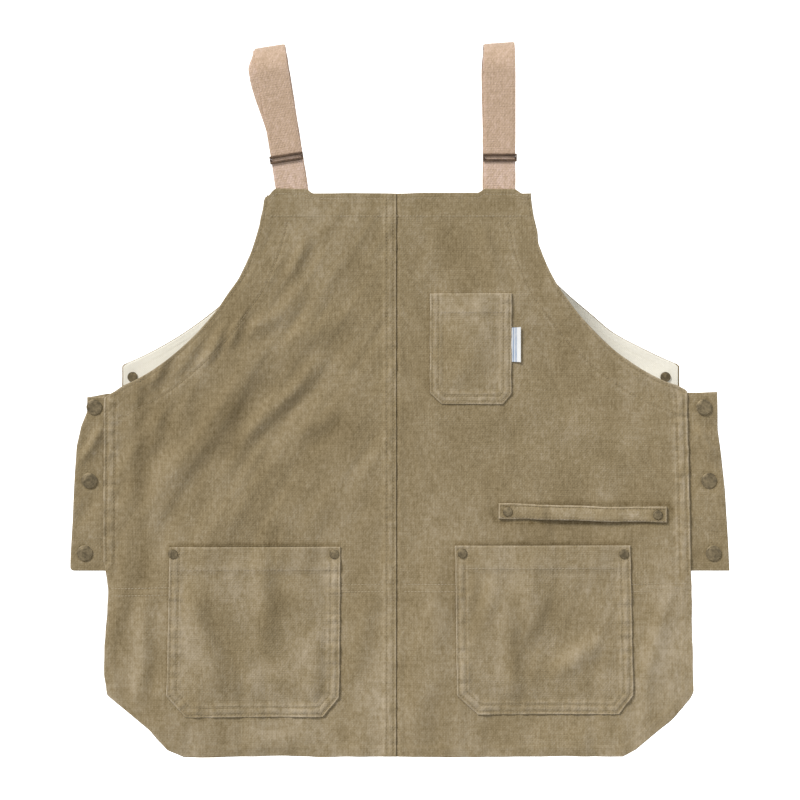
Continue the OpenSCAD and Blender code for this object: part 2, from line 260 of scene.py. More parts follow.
ARM = {s: arm_line(s) for s in NAME}
EDGE = {s: np.vstack([ARM[s], SIDE[s], [(0, HEM_Z)]]) for s in NAME}
TAB_SEAM = {1: np.vstack([ARM[1][-1:], SIDE[1][:1]]), -1: SIDE[-1][:2]}
BACK_ARM = {s: back_line(s) for s in NAME}
BACK_HALF = {-1: 283.4, 1: 287.0}
BACK_EDGE = {s: np.vstack([BACK_ARM[s], [(BACK_HALF[s], BACK_FOOT), (0, BACK_FOOT)]]) for s in NAME}


def from_line(x, z, lines):
    """Distance to the line of the side a point is on, and how far along it."""
    right, left = distance(np.abs(x), z, lines[1]), distance(np.abs(x), z, lines[-1])
    return tuple(np.where(x < 0, b, a) for a, b in zip(right, left))


def half_width(z, outline):
    """Half width at height z of an outline that runs downwards and ends with its foot's middle."""
    line = outline[:-1]
    return np.interp(-np.asarray(z, float), -line[:, 1], line[:, 0])


# ---------------------------------------------------------------- the drape of the front
# Folds: crest from (x, z) to (x, z), height and half width
FOLDS = [
    (-222, -425, -128, -302, 5.0, 13), (-262, -474, -205, -412, 2.2, 12), (-112, -292, -36, -272, 1.8, 12),
    (-152, -396, -78, -318, 3.4, 8), (-102, -398, -58, -364, 1.9, 8),
    (-48, -396, -42, -300, 1.9, 12), (-110, -240, -93, -186, 2.7, 7), (-150, -292, -98, -246, 2.9, 8),
    (-172, -306, -154, -260, 2.9, 6), (-197, -322, -178, -284, 3.0, 5.5), (-219, -332, -203, -296, 3.0, 5.5),
    (-244, -346, -229, -312, 2.8, 5.5), (-263, -362, -252, -332, 2.2, 5), (-251, -410, -236, -370, 2.4, 6),
    (-228, -398, -209, -356, 2.5, 7), (-268, -474, -265, -366, 2.4, 8), (-291, -600, -265, -478, 2.6, 9),
    (-257, -652, -251, -556, 2.5, 8), (-230, -520, -150, -462, 1.8, 15), (-48, -642, -30, -556, 2.3, 9),
    (40, -640, 34, -500, 1.8, 11), (72, -262, 186, -404, 1.3, 15), (126, -346, 236, -416, 1.3, 13),
    (246, -650, 262, -540, 2.4, 12), (150, -505, 70, -430, 1.2, 18), (98, -250, 86, -182, 1.6, 9),
    (24, -250, 40, -180, 1.2, 9), (-158, -706, -90, -692, 2.0, 12), (30, -704, 18, -640, 1.6, 11),
    (124, -706, 200, -694, 1.8, 13),
]
# Paler (+) and darker (-) patches: cloth that washed out unevenly, and painted light and shade on the flanks
# of folds: centre, half sizes, amount
WASHED_AND_SHADED = [
    (-150, -385, 95, 70, -0.7), (-256, -400, 9, 60, -1.1), (-256, -490, 9, 50, -1.0),
    (-276, -570, 11, 45, -1.2), (-24, -305, 22, 60, -0.8), (45, -206, 22, 18, -0.6),
    (-20, -668, 17, 50, 1.8), (269, -600, 17, 80, 2.0), (285, -480, 14, 60, 1.0),
    (34, -570, 14, 66, 1.0), (-195, -690, 60, 20, 0.5), (150, -428, 60, 20, -0.7),
    (110, -210, 14, 40, 0.6), (-95, -170, 36, 22, 0.6), (180, -700, 70, 16, 0.5),
    (-262, -625, 12, 40, 0.6), (-190, -575, 14, 26, -1.0), (-166, -612, 13, 28, -1.1),
    (-120, -560, 15, 32, -1.3), (-210, -600, 10, 40, 1.0), (-149, -556, 9, 38, 0.8),
    (-90, -630, 18, 34, 1.2), (-247, -625, 8, 40, -0.8), (158, -552, 17, 34, -1.2),
    (75, -565, 9, 34, -1.0), (117, -615, 10, 26, -1.1), (102, -622, 9, 30, 1.0),
    (134, -560, 8, 28, 0.9), (166, -603, 20, 13, 1.0), (190, -622, 22, 12, -0.8),
    (72, -260, 34, 14, 0.6), (-70, -430, 60, 14, 0.5),
]
# Where the cloth can't fold: the straps' ends and the snaps' height at each side
HELD = [(sx, -150, 30) for sx, _ in STRAPS.values()] + [(s * x, z, 15) for x, z in SNAPS for s in NAME]


def drape(x, z):
    """How far the front's cloth stands towards the viewer."""
    x, z = np.broadcast_arrays(np.asarray(x, float), np.asarray(z, float))
    wave = np.cos((x + 196) / 37.0 + noise(z, 0, 160, 3))
    wave = wave + 0.7 * np.cos((x - 30) / 52.0 + 1.2 * noise(z, 9, 140, 4))
    b = 1.5 * step(-150, -640, z) * wave
    for height, size, seed in ((1.8, 130, 5), (1.0, 52, 6), (0.42, 23, 7), (0.12, 11, 9)):
        b += height * noise(x, z, size, seed)
    for ax, az, bx, bz, height, width in FOLDS:
        t, d = beside(x, z, ax, az, bx, bz)
        d = d + 9 * (t - 0.5) ** 2 + 4.5 * noise(x, z, 48, 8)
        height = height * (0.85 + 0.3 * noise(x, z, 36, 10))
        b += height * bell(d, width) * step(-0.2, 0.3, t) * step(1.2, 0.7, t)
        b -= 0.4 * height * bell(d - 1.9 * width, width) * step(-0.1, 0.3, t) * step(1.1, 0.7, t)
    b += creases(x, z)
    return b * held(x, z, HELD) * (0.35 + 0.65 * step(-150, -196, z))


def creases(x, z):
    """Long shallow creases: they run down and outwards on each side, and straighter near the hem."""
    c = 0
    for k, (width, length, height) in enumerate(((13, 80, 0.8), (7.5, 46, 0.36))):
        for side, slant in ((-1, 0.62), (1, -0.34)):
            across = x - slant * step(-640, -470, z) * (z + 400)
            crease = noise(across, z * width / length, width, 301 + 2 * k + side)
            c = c + height * crease * step(-6, 10, side * x)
    return c


def seam(d, s, seed, groove=0.32, ridge=0.34, pucker=0.3):
    """Relief of one row of stitching at distance d from it, s along it."""
    rough = noise(s, d * 0.35, 4.6, seed) + 0.6 * noise(s, 0, 11, seed + 1)
    return (-groove * bell(d, 0.85) + ridge * bell(np.abs(d) - 2.5, 1.5) * (0.65 + 0.5 * rough)
            + pucker * rough * bell(d, 5.5))


def sewn(rows, pale, dark):
    """Relief of rows of stitching, each (distance, along, strength, seed), with paler wear beside each row
    and painted shade (dark) in its groove.
    """
    e, wear_and_shade = 0, 0
    for d, s, strength, seed in rows:
        e = e + strength * seam(d, s, seed)
        wear_and_shade = wear_and_shade + strength * (pale * bell(np.abs(d) - 2.4, 1.6) - dark * bell(d, 0.9))
    return e, wear_and_shade


def waist(x):
    """Height of the upper of the two rows that hold the lining's foot."""
    return WAIST_Z - 4 * step(-120, -280, np.asarray(x, float)) + 1.2 * noise(x, 0, 70, 11)


def front_seams(x, z):
    """Every row of stitching that shows on the front panel, and the distance from the tab's seam."""
    arm, arm_s = from_line(x, z, ARM)
    side, side_s = from_line(x, z, TAB_SEAM)
    tab = 1.5 * step(TAB_TOP + 6, TAB_TOP - 2, z) * step(TAB_FOOT - 22, TAB_FOOT - 2, z)
    lap = np.where(x < SEAM_X, 1.0, 0.0)
    rows = [
        (z - BIB_Z - pulled(x) + BIB_ROWS[0], x, 0.5, 21), (z - BIB_Z + BIB_ROWS[1], x, 0.35, 22),
        (arm - ARM_ROWS[1], arm_s, 0.75 * step(-174, -180, z) * step(20, 24, arm), 23),
        (arm - ARM_ROWS[0], arm_s, 0.5, 24),
        (x - SEAM_X + SEAM_ROWS[0], z, lap, 25), (x - SEAM_X + SEAM_ROWS[1], z, 0.8 * lap, 26),
        (z - waist(x), x, 0.45, 27), (z - waist(x) + WAIST_GAP, x, 0.45, 28),
        (side - TAB_ROWS[0], side_s, tab, 29), (side - TAB_ROWS[1], side_s, tab, 30),
    ]
    return rows, side


def pulled(x):
    """The bib's edge is pulled up where each strap is sewn in."""
    x = np.asarray(x, float)
    up = sum(4.6 * step(23, 14, np.abs(x - sx)) for sx in PULLED_X)
    return up + 0.5 * noise(x, 0, 24, 12) - 3.6 * step(-125, -134, x)


def pull(x, z):
    """Heights near the bib's edge, pulled up with it."""
    return z + pulled(x) * step(-176, -150, z)


def washed_and_shaded(x, z):
    """Paler and darker patches, 0 in even cloth: washed-out cloth and painted light and shade of folds."""
    w = 0.6 * noise(x, z * 0.7, 34, 34) + 0.3 * noise(x, z * 0.7, 15, 35)
    sway = 0.35 * noise(x, z, 34, 33)
    for wx, wz, rx, rz, amount in WASHED_AND_SHADED:
        w += amount * bell((x - wx) / rx + sway, 1) * bell((z - wz) / rz - sway, 1)
    return w


def front_relief(x, z):
    """Relief of the front panel's outer face, its wear and painted shade, and the distance from its edge."""
    rows, side = front_seams(x, z)
    e, wear_and_shade = sewn(rows, 0.7, 1.0)
    edge, edge_s = from_line(x, z, EDGE)
    under = x >= SEAM_X
    # Doubled cloth: the bib hem, the lap of the centre seam and the sewn-on tabs
    e += 0.4 * step(HEM_FOOT - 4, HEM_FOOT + 3, z)
    e += np.where(under, 0, 0.95 * step(SEAM_X - 13.2, SEAM_X - 11.4, x))
    e += np.where(under, -0.55 * bell(x - SEAM_X, 1.3) + 0.4 * bell(x - SEAM_X - 4.5, 2.4), 0)
    e += 0.45 * step(13.6, 12, side) * step(TAB_TOP + 5, TAB_TOP, z) * step(TAB_FOOT - 24, TAB_FOOT, z)
    e += 0.35 * step(12, 9.5, edge) + 0.25 * noise(edge_s, edge, 7, 31) * bell(edge, 9)
    e += 0.05 * noise(x, z, 5, 32)
    # Washed-out patches with painted light and shade of the folds, and paler towards the hem
    wear_and_shade += washed_and_shaded(x, z) + 0.5 * step(-520, -620, z)
    # Painted shade: darker round the tool loop, round the pockets' sewn edges and under the pockets' mouths
    start, end, height, half = LOOP_SHADE
    wear_and_shade -= 1.5 * bell(np.hypot(x - np.clip(x, start, end), z - height) - half, 2.4)
    for outline in OUTLINES.values():
        wear_and_shade -= (0.35 + 0.55 * step(-655, -640, z)) * bell(distance(x, z, outline)[0], 1.8)
    for mx, mz, half in MOUTHS:
        wear_and_shade -= 1.9 * bell(z - mz, 2.2) * step(half + 3, half - 3, np.abs(x - mx))
    wear_and_shade += 0.9 * bell(edge, 1.8)
    # Painted shade in the groove beside the centre seam's lap; paler wear on the lap's edge
    wear_and_shade += np.where(under, -2.2 * bell(x - SEAM_X, 0.9), 0.8 * bell(x - SEAM_X, 1.0))
    return e, wear_and_shade, edge


def front_face(x, z):
    x, z = np.broadcast_arrays(np.asarray(x, float), np.asarray(z, float))
    return PANEL_Y - drape(x, z) - front_relief(x, z)[0]


# ---------------------------------------------------------------- meshes
def build(name, verts, faces, material, body=FRONT, wear_and_shade=None, cloth=None, slot=None):
    """One smooth mesh from millimetres, riding on a body."""
    mesh = bpy.data.meshes.new(name)
    verts = np.asarray(verts, float) / 1000
    faces = np.asarray(faces, np.int32)
    n, k = len(faces), faces.shape[1]
    mesh.vertices.add(len(verts))
    mesh.vertices.foreach_set("co", verts.ravel())
    mesh.loops.add(n * k)
    mesh.loops.foreach_set("vertex_index", faces.ravel())
    mesh.polygons.add(n)
    mesh.polygons.foreach_set("loop_start", np.arange(0, n * k, k))
    mesh.update(calc_edges=True)
    mesh.polygons.foreach_set("use_smooth", np.ones(n, bool))
    # Per point: paler where the cloth is really worn, darker where shade is painted in; the label's printed
    # stripes are carried here too
    a = mesh.attributes.new("wear_and_shade", "FLOAT", "POINT")
    a.data.foreach_set("value", (np.zeros(len(verts)) if wear_and_shade is None else np.asarray(wear_and_shade, float)).ravel())
    c = mesh.attributes.new("cloth", "FLOAT_VECTOR", "POINT")
    c.data.foreach_set("vector", (verts if cloth is None else np.asarray(cloth, float) / 1000).ravel())
    mesh.validate()
    mesh.set_sharp_from_angle(angle=math.radians(62))
    obj = bpy.data.objects.new(name, mesh)
    bpy.context.collection.objects.link(obj)
    mesh.materials.append(material)
    if body:
        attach(obj, body)
    return obj


def shell_faces(nr, nc):
    """Quads of a front grid, a back grid and the rim between them."""
    n = nr * nc
    i = np.arange(n).reshape(nr, nc)
    quads = np.stack([i[:-1, :-1], i[1:, :-1], i[1:, 1:], i[:-1, 1:]], -1).reshape(-1, 4)
    rim = np.concatenate([i[0, :], i[1:, -1], i[-1, -2::-1], i[-2:0:-1, 0]])
    nxt = np.roll(rim, -1)
    return np.concatenate([quads, quads[:, ::-1] + n, np.stack([rim, nxt, nxt + n, rim + n], -1)])


def shell(name, x, z, front, back, material, wear_and_shade=0.0, back_wear_and_shade=0.0, **more):
    """A sheet as a closed shell: grids of x and z, and the y of its front and back faces."""
    nr, nc = x.shape
    verts = [np.stack([x, y, z], -1).reshape(-1, 3) for y in (front, back)]
    worn_and_shaded = [(w + np.zeros(x.shape)).ravel() for w in (wear_and_shade, back_wear_and_shade)]
    flat = np.stack([x, z, np.zeros(x.shape)], -1).reshape(-1, 3)
    both = np.concatenate([flat, flat + [400, 0, 0]])
    return build(name, np.concatenate(verts), shell_faces(nr, nc), material, wear_and_shade=np.concatenate(worn_and_shaded),
                 cloth=both, **more)


EDGE_STEPS = np.array([0, 0.35, 0.8, 1.5, 2.2, 3, 3.9, 5, 6.2, 7.4, 8.6, 9.8, 11, 12.2, 13.6, 15.4])


def spread(low, high, pitch, low_steps=EDGE_STEPS, high_steps=EDGE_STEPS):
    """Places from low to high (numbers or arrays), close together near both ends."""
    low, high = np.broadcast_arrays(np.asarray(low, float), np.asarray(high, float))
    a, b = low_steps, high_steps
    n = max(3, int(round((float(np.max(high - low)) - a[-1] - b[-1]) / pitch)))
    t = np.linspace(0, 1, n + 1)[1:-1]
    room = (high - low)[..., None]
    k = np.minimum(1.0, room / (a[-1] + b[-1] + 4))
    left = low[..., None] + a * k
    right = high[..., None] - b[::-1] * k
    return np.concatenate([left, left[..., -1:] * (1 - t) + right[..., :1] * t, right], -1)


def heights(foot, top, pitch):
    """Heights from top to foot, close together near both."""
    return spread(foot, top, pitch)[::-1]


def grid(z1, low, high, pitch, low_steps=EDGE_STEPS):
    """Rows of points at the heights z1, each from low to high."""
    x = spread(low + 0 * z1, high + 0 * z1, pitch, low_steps)
    return x, np.repeat(z1[:, None], x.shape[1], 1)


def half_grid(z1, w, middle, pitch, side):
    """Rows of points of one side's half, between its middle line and its half width."""
    low, high = (-w, middle) if side < 0 else (middle, w)
    return grid(z1, low, high, pitch)


# ---------------------------------------------------------------- stitching
class Threads:
    """Stitches gathered into one mesh; each is a short spindle of five rings with six points."""

    AROUND = 6
    # Place along, thickness and lift of each ring
    RINGS = [(-1.0, 0.35, -0.35), (-0.55, 0.9, 0.05), (0.0, 1.0, 0.25), (0.55, 0.9, 0.05), (1.0, 0.35, -0.35)]

    def __init__(self):
        self.verts, self.faces, self.count = [], [], 0
        n, last = self.AROUND, self.AROUND * (len(self.RINGS) - 1)
        sides = [(q, (q + 1) % n, (q + 1) % n + n, q + n) for q in range(n)]
        quads = [np.array(sides) + p for p in range(0, last, n)]
        near, far = [(3, 2, 1, 0), (5, 4, 3, 0)], np.array([(0, 1, 2, 3), (0, 3, 4, 5)]) + last
        self.one = np.concatenate([*quads, near, far])
        turn = np.linspace(0, 2 * math.pi, n, endpoint=False)
        along, thick, up = np.array(self.RINGS).T[:, :, None]
        self.across, self.out = thick * np.cos(turn), thick * np.sin(turn)
        self.along, self.up = along + 0 * self.across, up + 0 * self.across

    def row(self, pts, face, pitch=3.3, width=0.42, lift=0.12, seed=1, outward=-1.0, length=0.78):
        """Stitches along a polyline of (x, z), lying on the surface y = face(x, z)."""
        pts = np.array(pts, float)
        run = arc_length(pts)
        count = max(1, int(run[-1] / pitch))
        mid = (np.arange(count) + 0.5) * run[-1] / count
        jig = noise(np.arange(count) * 7.3, 0, 2.1, seed)

        def at(s):
            return np.array([np.interp(s, run, pts[:, k]) for k in (0, 1)])

        x, z = at(mid)
        ux, uz = at(mid + 0.4) - at(mid - 0.4)
        m = np.hypot(ux, uz) + 1e-9
        ux, uz = ux / m, uz / m
        ux, uz = ux - uz * 0.09 * jig, uz + ux * 0.09 * jig
        half = 0.5 * pitch * length
        ya, yb = face(x - ux * half, z - uz * half), face(x + ux * half, z + uz * half)
        y, slope = (ya + yb) / 2, (yb - ya) / 2
        x, y, z, ux, uz, slope = (a[:, None, None] for a in (x, y, z, ux, uz, slope))
        stands = outward * (lift + self.up * 0.55 * width + self.out * width * 0.75)
        place = [x + ux * self.along * half - uz * self.across * width, y + slope * self.along + stands,
                 z + uz * self.along * half + ux * self.across * width]
        self.verts.append(np.stack(place, -1).reshape(-1, 3))
        starts = self.along.size * (self.count + np.arange(count))
        self.faces.append((self.one[None] + starts[:, None, None]).reshape(-1, 4))
        self.count += count

    def done(self, name, material, **more):
        return build(name, np.concatenate(self.verts), np.concatenate(self.faces)[:, ::-1], material, **more)


def band(name, path, half, thick, place, lift=None, pitch=0.8, tone=None, **more):
    """Webbing: a flat band of half width `half` along a path of (y, z) points, moved by place()."""
    p = np.array(path, float)
    run = arc_length(p)
    n, across = max(6, int(run[-1] / pitch)), 14
    s = np.linspace(0, run[-1], n + 1)
    y, z = np.interp(s, run, p[:, 0]), np.interp(s, run, p[:, 1])
    y[1:-1], z[1:-1] = (y[:-2] + 2 * y[1:-1] + y[2:]) / 4, (z[:-2] + 2 * z[1:-1] + z[2:]) / 4
    ty, tz = np.gradient(y), np.gradient(z)
    m = np.hypot(ty, tz)
    ny, nz = -tz / m, ty / m
    t = np.linspace(-1, 1, across + 1)
    t = np.sign(t) * np.abs(t) ** 0.8
    s, t = s[:, None], t[None, :]
    x = t * (half + 0.15 * noise(s, 0, 9, 41) * np.abs(t) ** 6)
    edge = half * (1 - np.abs(t)) + 0 * s
    bow = 0.06 * np.cos(math.pi * t / 2) + 0.05 * noise(s, t * half, 7, 42)
    rise = thick / 2 - thick * 0.38 * corner_round(edge, thick * 0.6)
    if lift:
        bow = bow + lift(s, t)
    y, z, ny, nz = (a[:, None] for a in (y, z, ny, nz))
    layers = [place(np.stack([x, y + ny * h, z + nz * h], -1)) for h in (bow + rise, bow - rise)]
    flat = np.stack([x, s + 0 * x, 0 * x], -1).reshape(-1, 3)
    wear_and_shade = (0.6 * bell(edge, 1.2) + (tone(s) if tone else 0)).ravel()
    verts, both = np.concatenate(layers).reshape(-1, 3), np.concatenate([flat, flat + [500, 0, 0]])
    return build(name, verts, shell_faces(n + 1, across + 1)[:, ::-1], WEBBING, wear_and_shade=np.tile(wear_and_shade, 2),
                 cloth=both, slot="webbing", **more)


def lathe(name, places, profile, material, outward=-1):
    """Turned parts: a profile of (radius, height) round an axis along Y at each (x, y, z)."""
    verts, faces = [], []
    sides = 40
    for px, py, pz in places:
        base = len(verts)
        for r, h in profile:
            for k in range(sides):
                a = 2 * math.pi * k / sides
                verts.append((px + r * math.cos(a), py + outward * h, pz + r * math.sin(a)))
        for i in range(len(profile) - 1):
            for k in range(sides):
                a, b = base + i * sides + k, base + i * sides + (k + 1) % sides
                faces.append((a, b, b + sides, a + sides) if outward > 0 else (a, a + sides, b + sides, b))
    return build(name, verts, faces, material, slot="dark_bronze")


# ---------------------------------------------------------------- materials
def tree(name):
    m = bpy.data.materials.new(name)
    m.use_nodes = True
    nt = m.node_tree
    return m, nt, next(n for n in nt.nodes if n.type == "BSDF_PRINCIPLED")


def add(nt, kind, inputs=(), **props):
    """A node with its properties set, and each input linked to a socket or set to a value."""
    n = nt.nodes.new(kind)
    for k, v in props.items():
        setattr(n, k, v)
    for k, v in dict(inputs).items():
        if isinstance(v, bpy.types.NodeSocket):
            nt.links.new(v, n.inputs[k])
        else:
            n.inputs[k].default_value = v
    return n


def maths(nt, op, a, b=0.0):
    return add(nt, "ShaderNodeMath", {0: a, 1: b, 2: 0.0}, operation=op).outputs[0]


def times(nt, a, b):
    """The product of two sockets or values."""
    return maths(nt, "MULTIPLY", a, b)


def total(nt, first, *rest):
    """The sum of any number of sockets or values."""
    return maths(nt, "ADD", first, total(nt, *rest)) if rest else first


def grain(nt, coords, scale, detail=4.0, rough=0.55):
    """Noise between about -0.5 and 0.5; scale is per metre in x, z and across."""
    place = add(nt, "ShaderNodeMapping", {"Vector": coords, "Scale": scale}).outputs[0]
    inputs = {"Vector": place, "Scale": 1.0, "Detail": detail, "Roughness": rough}
    return maths(nt, "SUBTRACT", add(nt, "ShaderNodeTexNoise", inputs).outputs["Fac"], 0.5)


def ramp(nt, fac, first, last, middle=None):
    """A colour ramp through stops of (position, colour)."""
    node = add(nt, "ShaderNodeValToRGB", {"Fac": fac})
    stops = node.color_ramp.elements
    for stop, (place, colour) in zip(stops, (first, last)):
        stop.position, stop.color = place, (*colour, 1)
    if middle:
        stops.new(middle[0]).color = (*middle[1], 1)
    return node.outputs[0]


def bumped(nt, bsdf, height, strength, depth):
    bump = add(nt, "ShaderNodeBump", {"Height": height, "Strength": strength, "Distance": depth})
    nt.links.new(bump.outputs[0], bsdf.inputs["Normal"])


def woven(name, colour, warp, weft, mottle=1.0, slub=0.28, depth=0.00022, wear_and_shade_gain=0.13, fleck=0.18,
          low=(1.0, 0.89, 0.58), high=(1.0, 1.075, 1.38)):
    """Woven cloth: warp and weft are threads per metre; colours vary with blotches, slubs, real wear and
    painted shade.
    """
    m, nt, bsdf = tree(name)
    cloth = add(nt, "ShaderNodeAttribute", attribute_name="cloth").outputs["Vector"]
    wear_and_shade = add(nt, "ShaderNodeAttribute", attribute_name="wear_and_shade").outputs["Fac"]
    xyz = add(nt, "ShaderNodeSeparateXYZ", {0: cloth})
    wander = times(nt, grain(nt, cloth, (160, 160, 160), 2.0), 0.0011)
    u, v = (maths(nt, "SINE", times(nt, total(nt, xyz.outputs[k], wander), math.pi * threads))
            for k, threads in ((0, warp), (1, weft)))
    across, along = maths(nt, "ABSOLUTE", u), maths(nt, "ABSOLUTE", v)
    weave = total(nt, times(nt, times(nt, u, v), 0.35), times(nt, across, 0.4), times(nt, along, 0.3))
    blotch = grain(nt, cloth, (27, 20, 25), 5.0, 0.6)
    spots = grain(nt, cloth, (82, 50, 70), 3.0, 0.6)
    specks = grain(nt, cloth, (290, 210, 250), 3.0, 0.6)
    warp_slub = grain(nt, cloth, (620, 60, 90), 3.0, 0.6)
    weft_slub = grain(nt, cloth, (60, 640, 90), 3.0, 0.6)
    fine = grain(nt, cloth, (900, 900, 900), 2.0, 0.7)
    tone = times(nt, blotch, mottle * 0.45)
    for part, gain in ((spots, mottle * 0.26), (specks, mottle * 0.7), (warp_slub, slub * 1.7),
                       (weft_slub, slub * 1.0), (fine, fleck * 1.9)):
        tone = total(nt, tone, times(nt, part, gain))
    # The attribute brings in real wear (paler) and painted shade (darker)
    worn_and_shaded = times(nt, wear_and_shade, total(nt, 1.0, times(nt, spots, 2.6)))
    tone = total(nt, tone, times(nt, worn_and_shaded, wear_and_shade_gain))
    tone = total(nt, tone, times(nt, maths(nt, "SUBTRACT", weave, 0.4), 0.10))
    dark = [c * 0.46 * k for c, k in zip(colour, low)]
    pale = [min(1, c * 1.62 * k) for c, k in zip(colour, high)]
    shade = ramp(nt, total(nt, tone, 0.5), (0.05, dark), (0.97, pale), (0.5, colour))
    nt.links.new(shade, bsdf.inputs["Base Color"])
    nt.links.new(total(nt, 0.9, times(nt, spots, 0.12)), bsdf.inputs["Roughness"])
    bsdf.inputs["Specular IOR Level"].default_value = 0.18
    bsdf.inputs["Sheen Weight"].default_value = 0.12
    bsdf.inputs["Sheen Roughness"].default_value = 0.6
    height = total(nt, weave, times(nt, warp_slub, 1.5), times(nt, weft_slub, 1.0), times(nt, fine, 1.1))
    bumped(nt, bsdf, height, 1.0, depth)
    return m


def metal(name, colour, pale):
    """Antique metal: a dark finish rubbed to a paler metal in places."""
    m, nt, bsdf = tree(name)
    coords = add(nt, "ShaderNodeTexCoord").outputs["Object"]
    big = grain(nt, coords, (130, 130, 130), 4.0)
    small = grain(nt, coords, (420.0, 420.0, 420.0), 4.0, 0.65)
    rub = total(nt, 0.5, times(nt, big, 1.1), times(nt, small, 1.5))
    nt.links.new(ramp(nt, rub, (0.28, colour), (0.86, pale)), bsdf.inputs["Base Color"])
    bsdf.inputs["Metallic"].default_value = 0.6
    nt.links.new(total(nt, 0.5, times(nt, small, 0.5)), bsdf.inputs["Roughness"])
    bumped(nt, bsdf, small, 0.5, 0.00012)
    return m


CANVAS = woven("canvas", (0.279, 0.217, 0.1195), 620, 520)
LOOP_CLOTH = woven("canvas_band", (0.325, 0.256, 0.147), 620, 520, wear_and_shade_gain=0.18)
LINING = woven("lining_cotton", (0.86, 0.84, 0.76), 900, 820, mottle=0.12, slub=0.06, depth=0.0001,
               wear_and_shade_gain=0.04, fleck=0.05)
WEBBING = woven("webbing_cotton", (0.572, 0.418, 0.308), 640, 430, mottle=0.75, slub=0.12, depth=0.00034,
                wear_and_shade_gain=0.09, fleck=0.12)
THREAD = woven("thread_khaki", (0.30, 0.238, 0.142), 2500, 2500, mottle=0.4, slub=0.1, depth=0.00004,
               wear_and_shade_gain=0.0)
PALE_THREAD = woven("thread_pale", (0.42, 0.35, 0.24), 2500, 2500, mottle=0.6, slub=0.1, depth=0.00004,
                    wear_and_shade_gain=0.0)
LABEL = woven("label_tape", (0.84, 0.86, 0.88), 1500, 1500, mottle=0.08, slub=0.03, depth=0.00005,
              wear_and_shade_gain=-0.42, fleck=0.03, low=(0.75, 0.95, 1.3), high=(1, 1, 1))
CAP_METAL = metal("antique_brass", (0.067, 0.051, 0.026), (0.187, 0.147, 0.084))
DARK_METAL = metal("dark_bronze_metal", (0.036, 0.020, 0.011), (0.12, 0.074, 0.044))


def paint_metal():
    """The CAD nodes that are seen as they are get their metal."""
    for node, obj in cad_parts.items():
        if node.startswith("snap_"):
            paint = CAP_METAL
        elif node.startswith(("slider_left", "slider_right", "strap_ring", "rivet_washers")):
            paint = DARK_METAL
        else:
            continue
        for s in obj.material_slots:
            s.material = paint
        if not obj.material_slots:
            obj.data.materials.append(paint)


paint_metal()


# ---------------------------------------------------------------- front panel, two halves
def inner_seam(x, z):
    """On the inside, below the lining, the centre seam's allowance stands proud of the cloth."""
    bare = step(LINING_FOOT - 2, LINING_FOOT - 6, z)
    lap = step(SEAM_X - 13.2, SEAM_X - 12, x) * step(SEAM_X + 0.2, SEAM_X - 1.0, x)
    rows = sum(0.2 * seam(x - SEAM_X + d, z, seed) for d, seed in zip(SEAM_ROWS, (55, 56)))
    return bare * (0.75 * lap + rows)


def inside_face(x, z):
    return STRAP_Y - drape(x, z) + inner_seam(np.asarray(x, float), np.asarray(z, float))


def front_half(side):
    z1 = heights(HEM_Z, BIB_Z, 2.1)
    w = half_width(z1, EDGE[side])
    w = w + 0.35 * noise(z1, side * 50, 26, 51) + 0.25 * noise(z1, side * 90, 9, 52)
    x, z = half_grid(z1, w, SEAM_X, 2.15, side)
    z = pull(x, z)
    z = z + (0.5 * noise(x, 0, 40, 53) + 0.3 * noise(x, 0, 13, 54)) * step(-690, -711, z)
    e, wear_and_shade, edge = front_relief(x, z)
    y0 = PANEL_Y - drape(x, z)
    rim = np.minimum(edge, np.clip(BIB_Z + pulled(x) - z, 0, 50))
    front = rounded(rim, 0.75, y0 - e, -1)
    back = rounded(rim, 0.45, y0 + CANVAS_T + inner_seam(x, z) - 0.15 * np.clip(e, -1, 1), 1)
    if side < 0:
        front = rounded(SEAM_X - x, 0.7, front, -1)
    back = np.maximum(back, front + 0.25)
    # Inside: paler wear at the edges and on the lap's edge, painted shade along the centre seam
    back_wear_and_shade = 0.4 * bell(edge, 2) + 0.9 * bell(x - SEAM_X + 12.5, 1.2) - 1.6 * bell(x - SEAM_X, 1.0)
    o = shell("front_panel_%s_cloth" % NAME[side], x, z, front, back, CANVAS, wear_and_shade, back_wear_and_shade, slot="canvas")
    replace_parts(o, "front_panel_" + NAME[side])


def stitch_front():
    khaki, pale = Threads(), Threads()
    tab_lines = {1: [(288.3, TAB_TOP), (292.2, TAB_FOOT)], -1: [(295.2, -356), (295.7, -519)]}
    for side in NAME:
        facing = offset_line(ARM[side], ARM_ROWS[1])
        facing = facing[(facing[:, 1] < HEM_FOOT) & (facing[:, 0] < 283)]
        khaki.row(mirrored(facing, side), front_face, seed=61 + side)
        khaki.row(mirrored(offset_line(ARM[side], ARM_ROWS[0]), side), front_face, seed=64 + side)
        for d in TAB_ROWS:
            khaki.row(mirrored(np.array(tab_lines[side]) - [d, 0], side), front_face, seed=67 + side)
        x = side * np.linspace(288, 5 if side > 0 else 15, 60)
        for gap, seed in ((0, 70), (WAIST_GAP, 73)):
            pale.row(points(x, waist(x) - gap), front_face, seed=seed + side, width=FINE)
    x = np.linspace(-129, 129, 120)
    pale.row(points(x, BIB_Z - BIB_ROWS[0] + pulled(x)), front_face, seed=76, width=FINEST)
    pale.row(points(x, BIB_Z - BIB_ROWS[1]), front_face, seed=77, width=FINE)
    for d in SEAM_ROWS:
        outside, inside = np.linspace(-153, HEM_Z + 4, 200), np.linspace(LINING_FOOT - 6, HEM_Z + 4, 60)
        khaki.row(points(SEAM_X - d, outside), front_face, seed=78 + int(d))
        khaki.row(points(SEAM_X - d, inside), inside_face, seed=90 + int(d), outward=1.0)
    khaki.done("stitching_front", THREAD)
    pale.done("stitching_waist", PALE_THREAD)


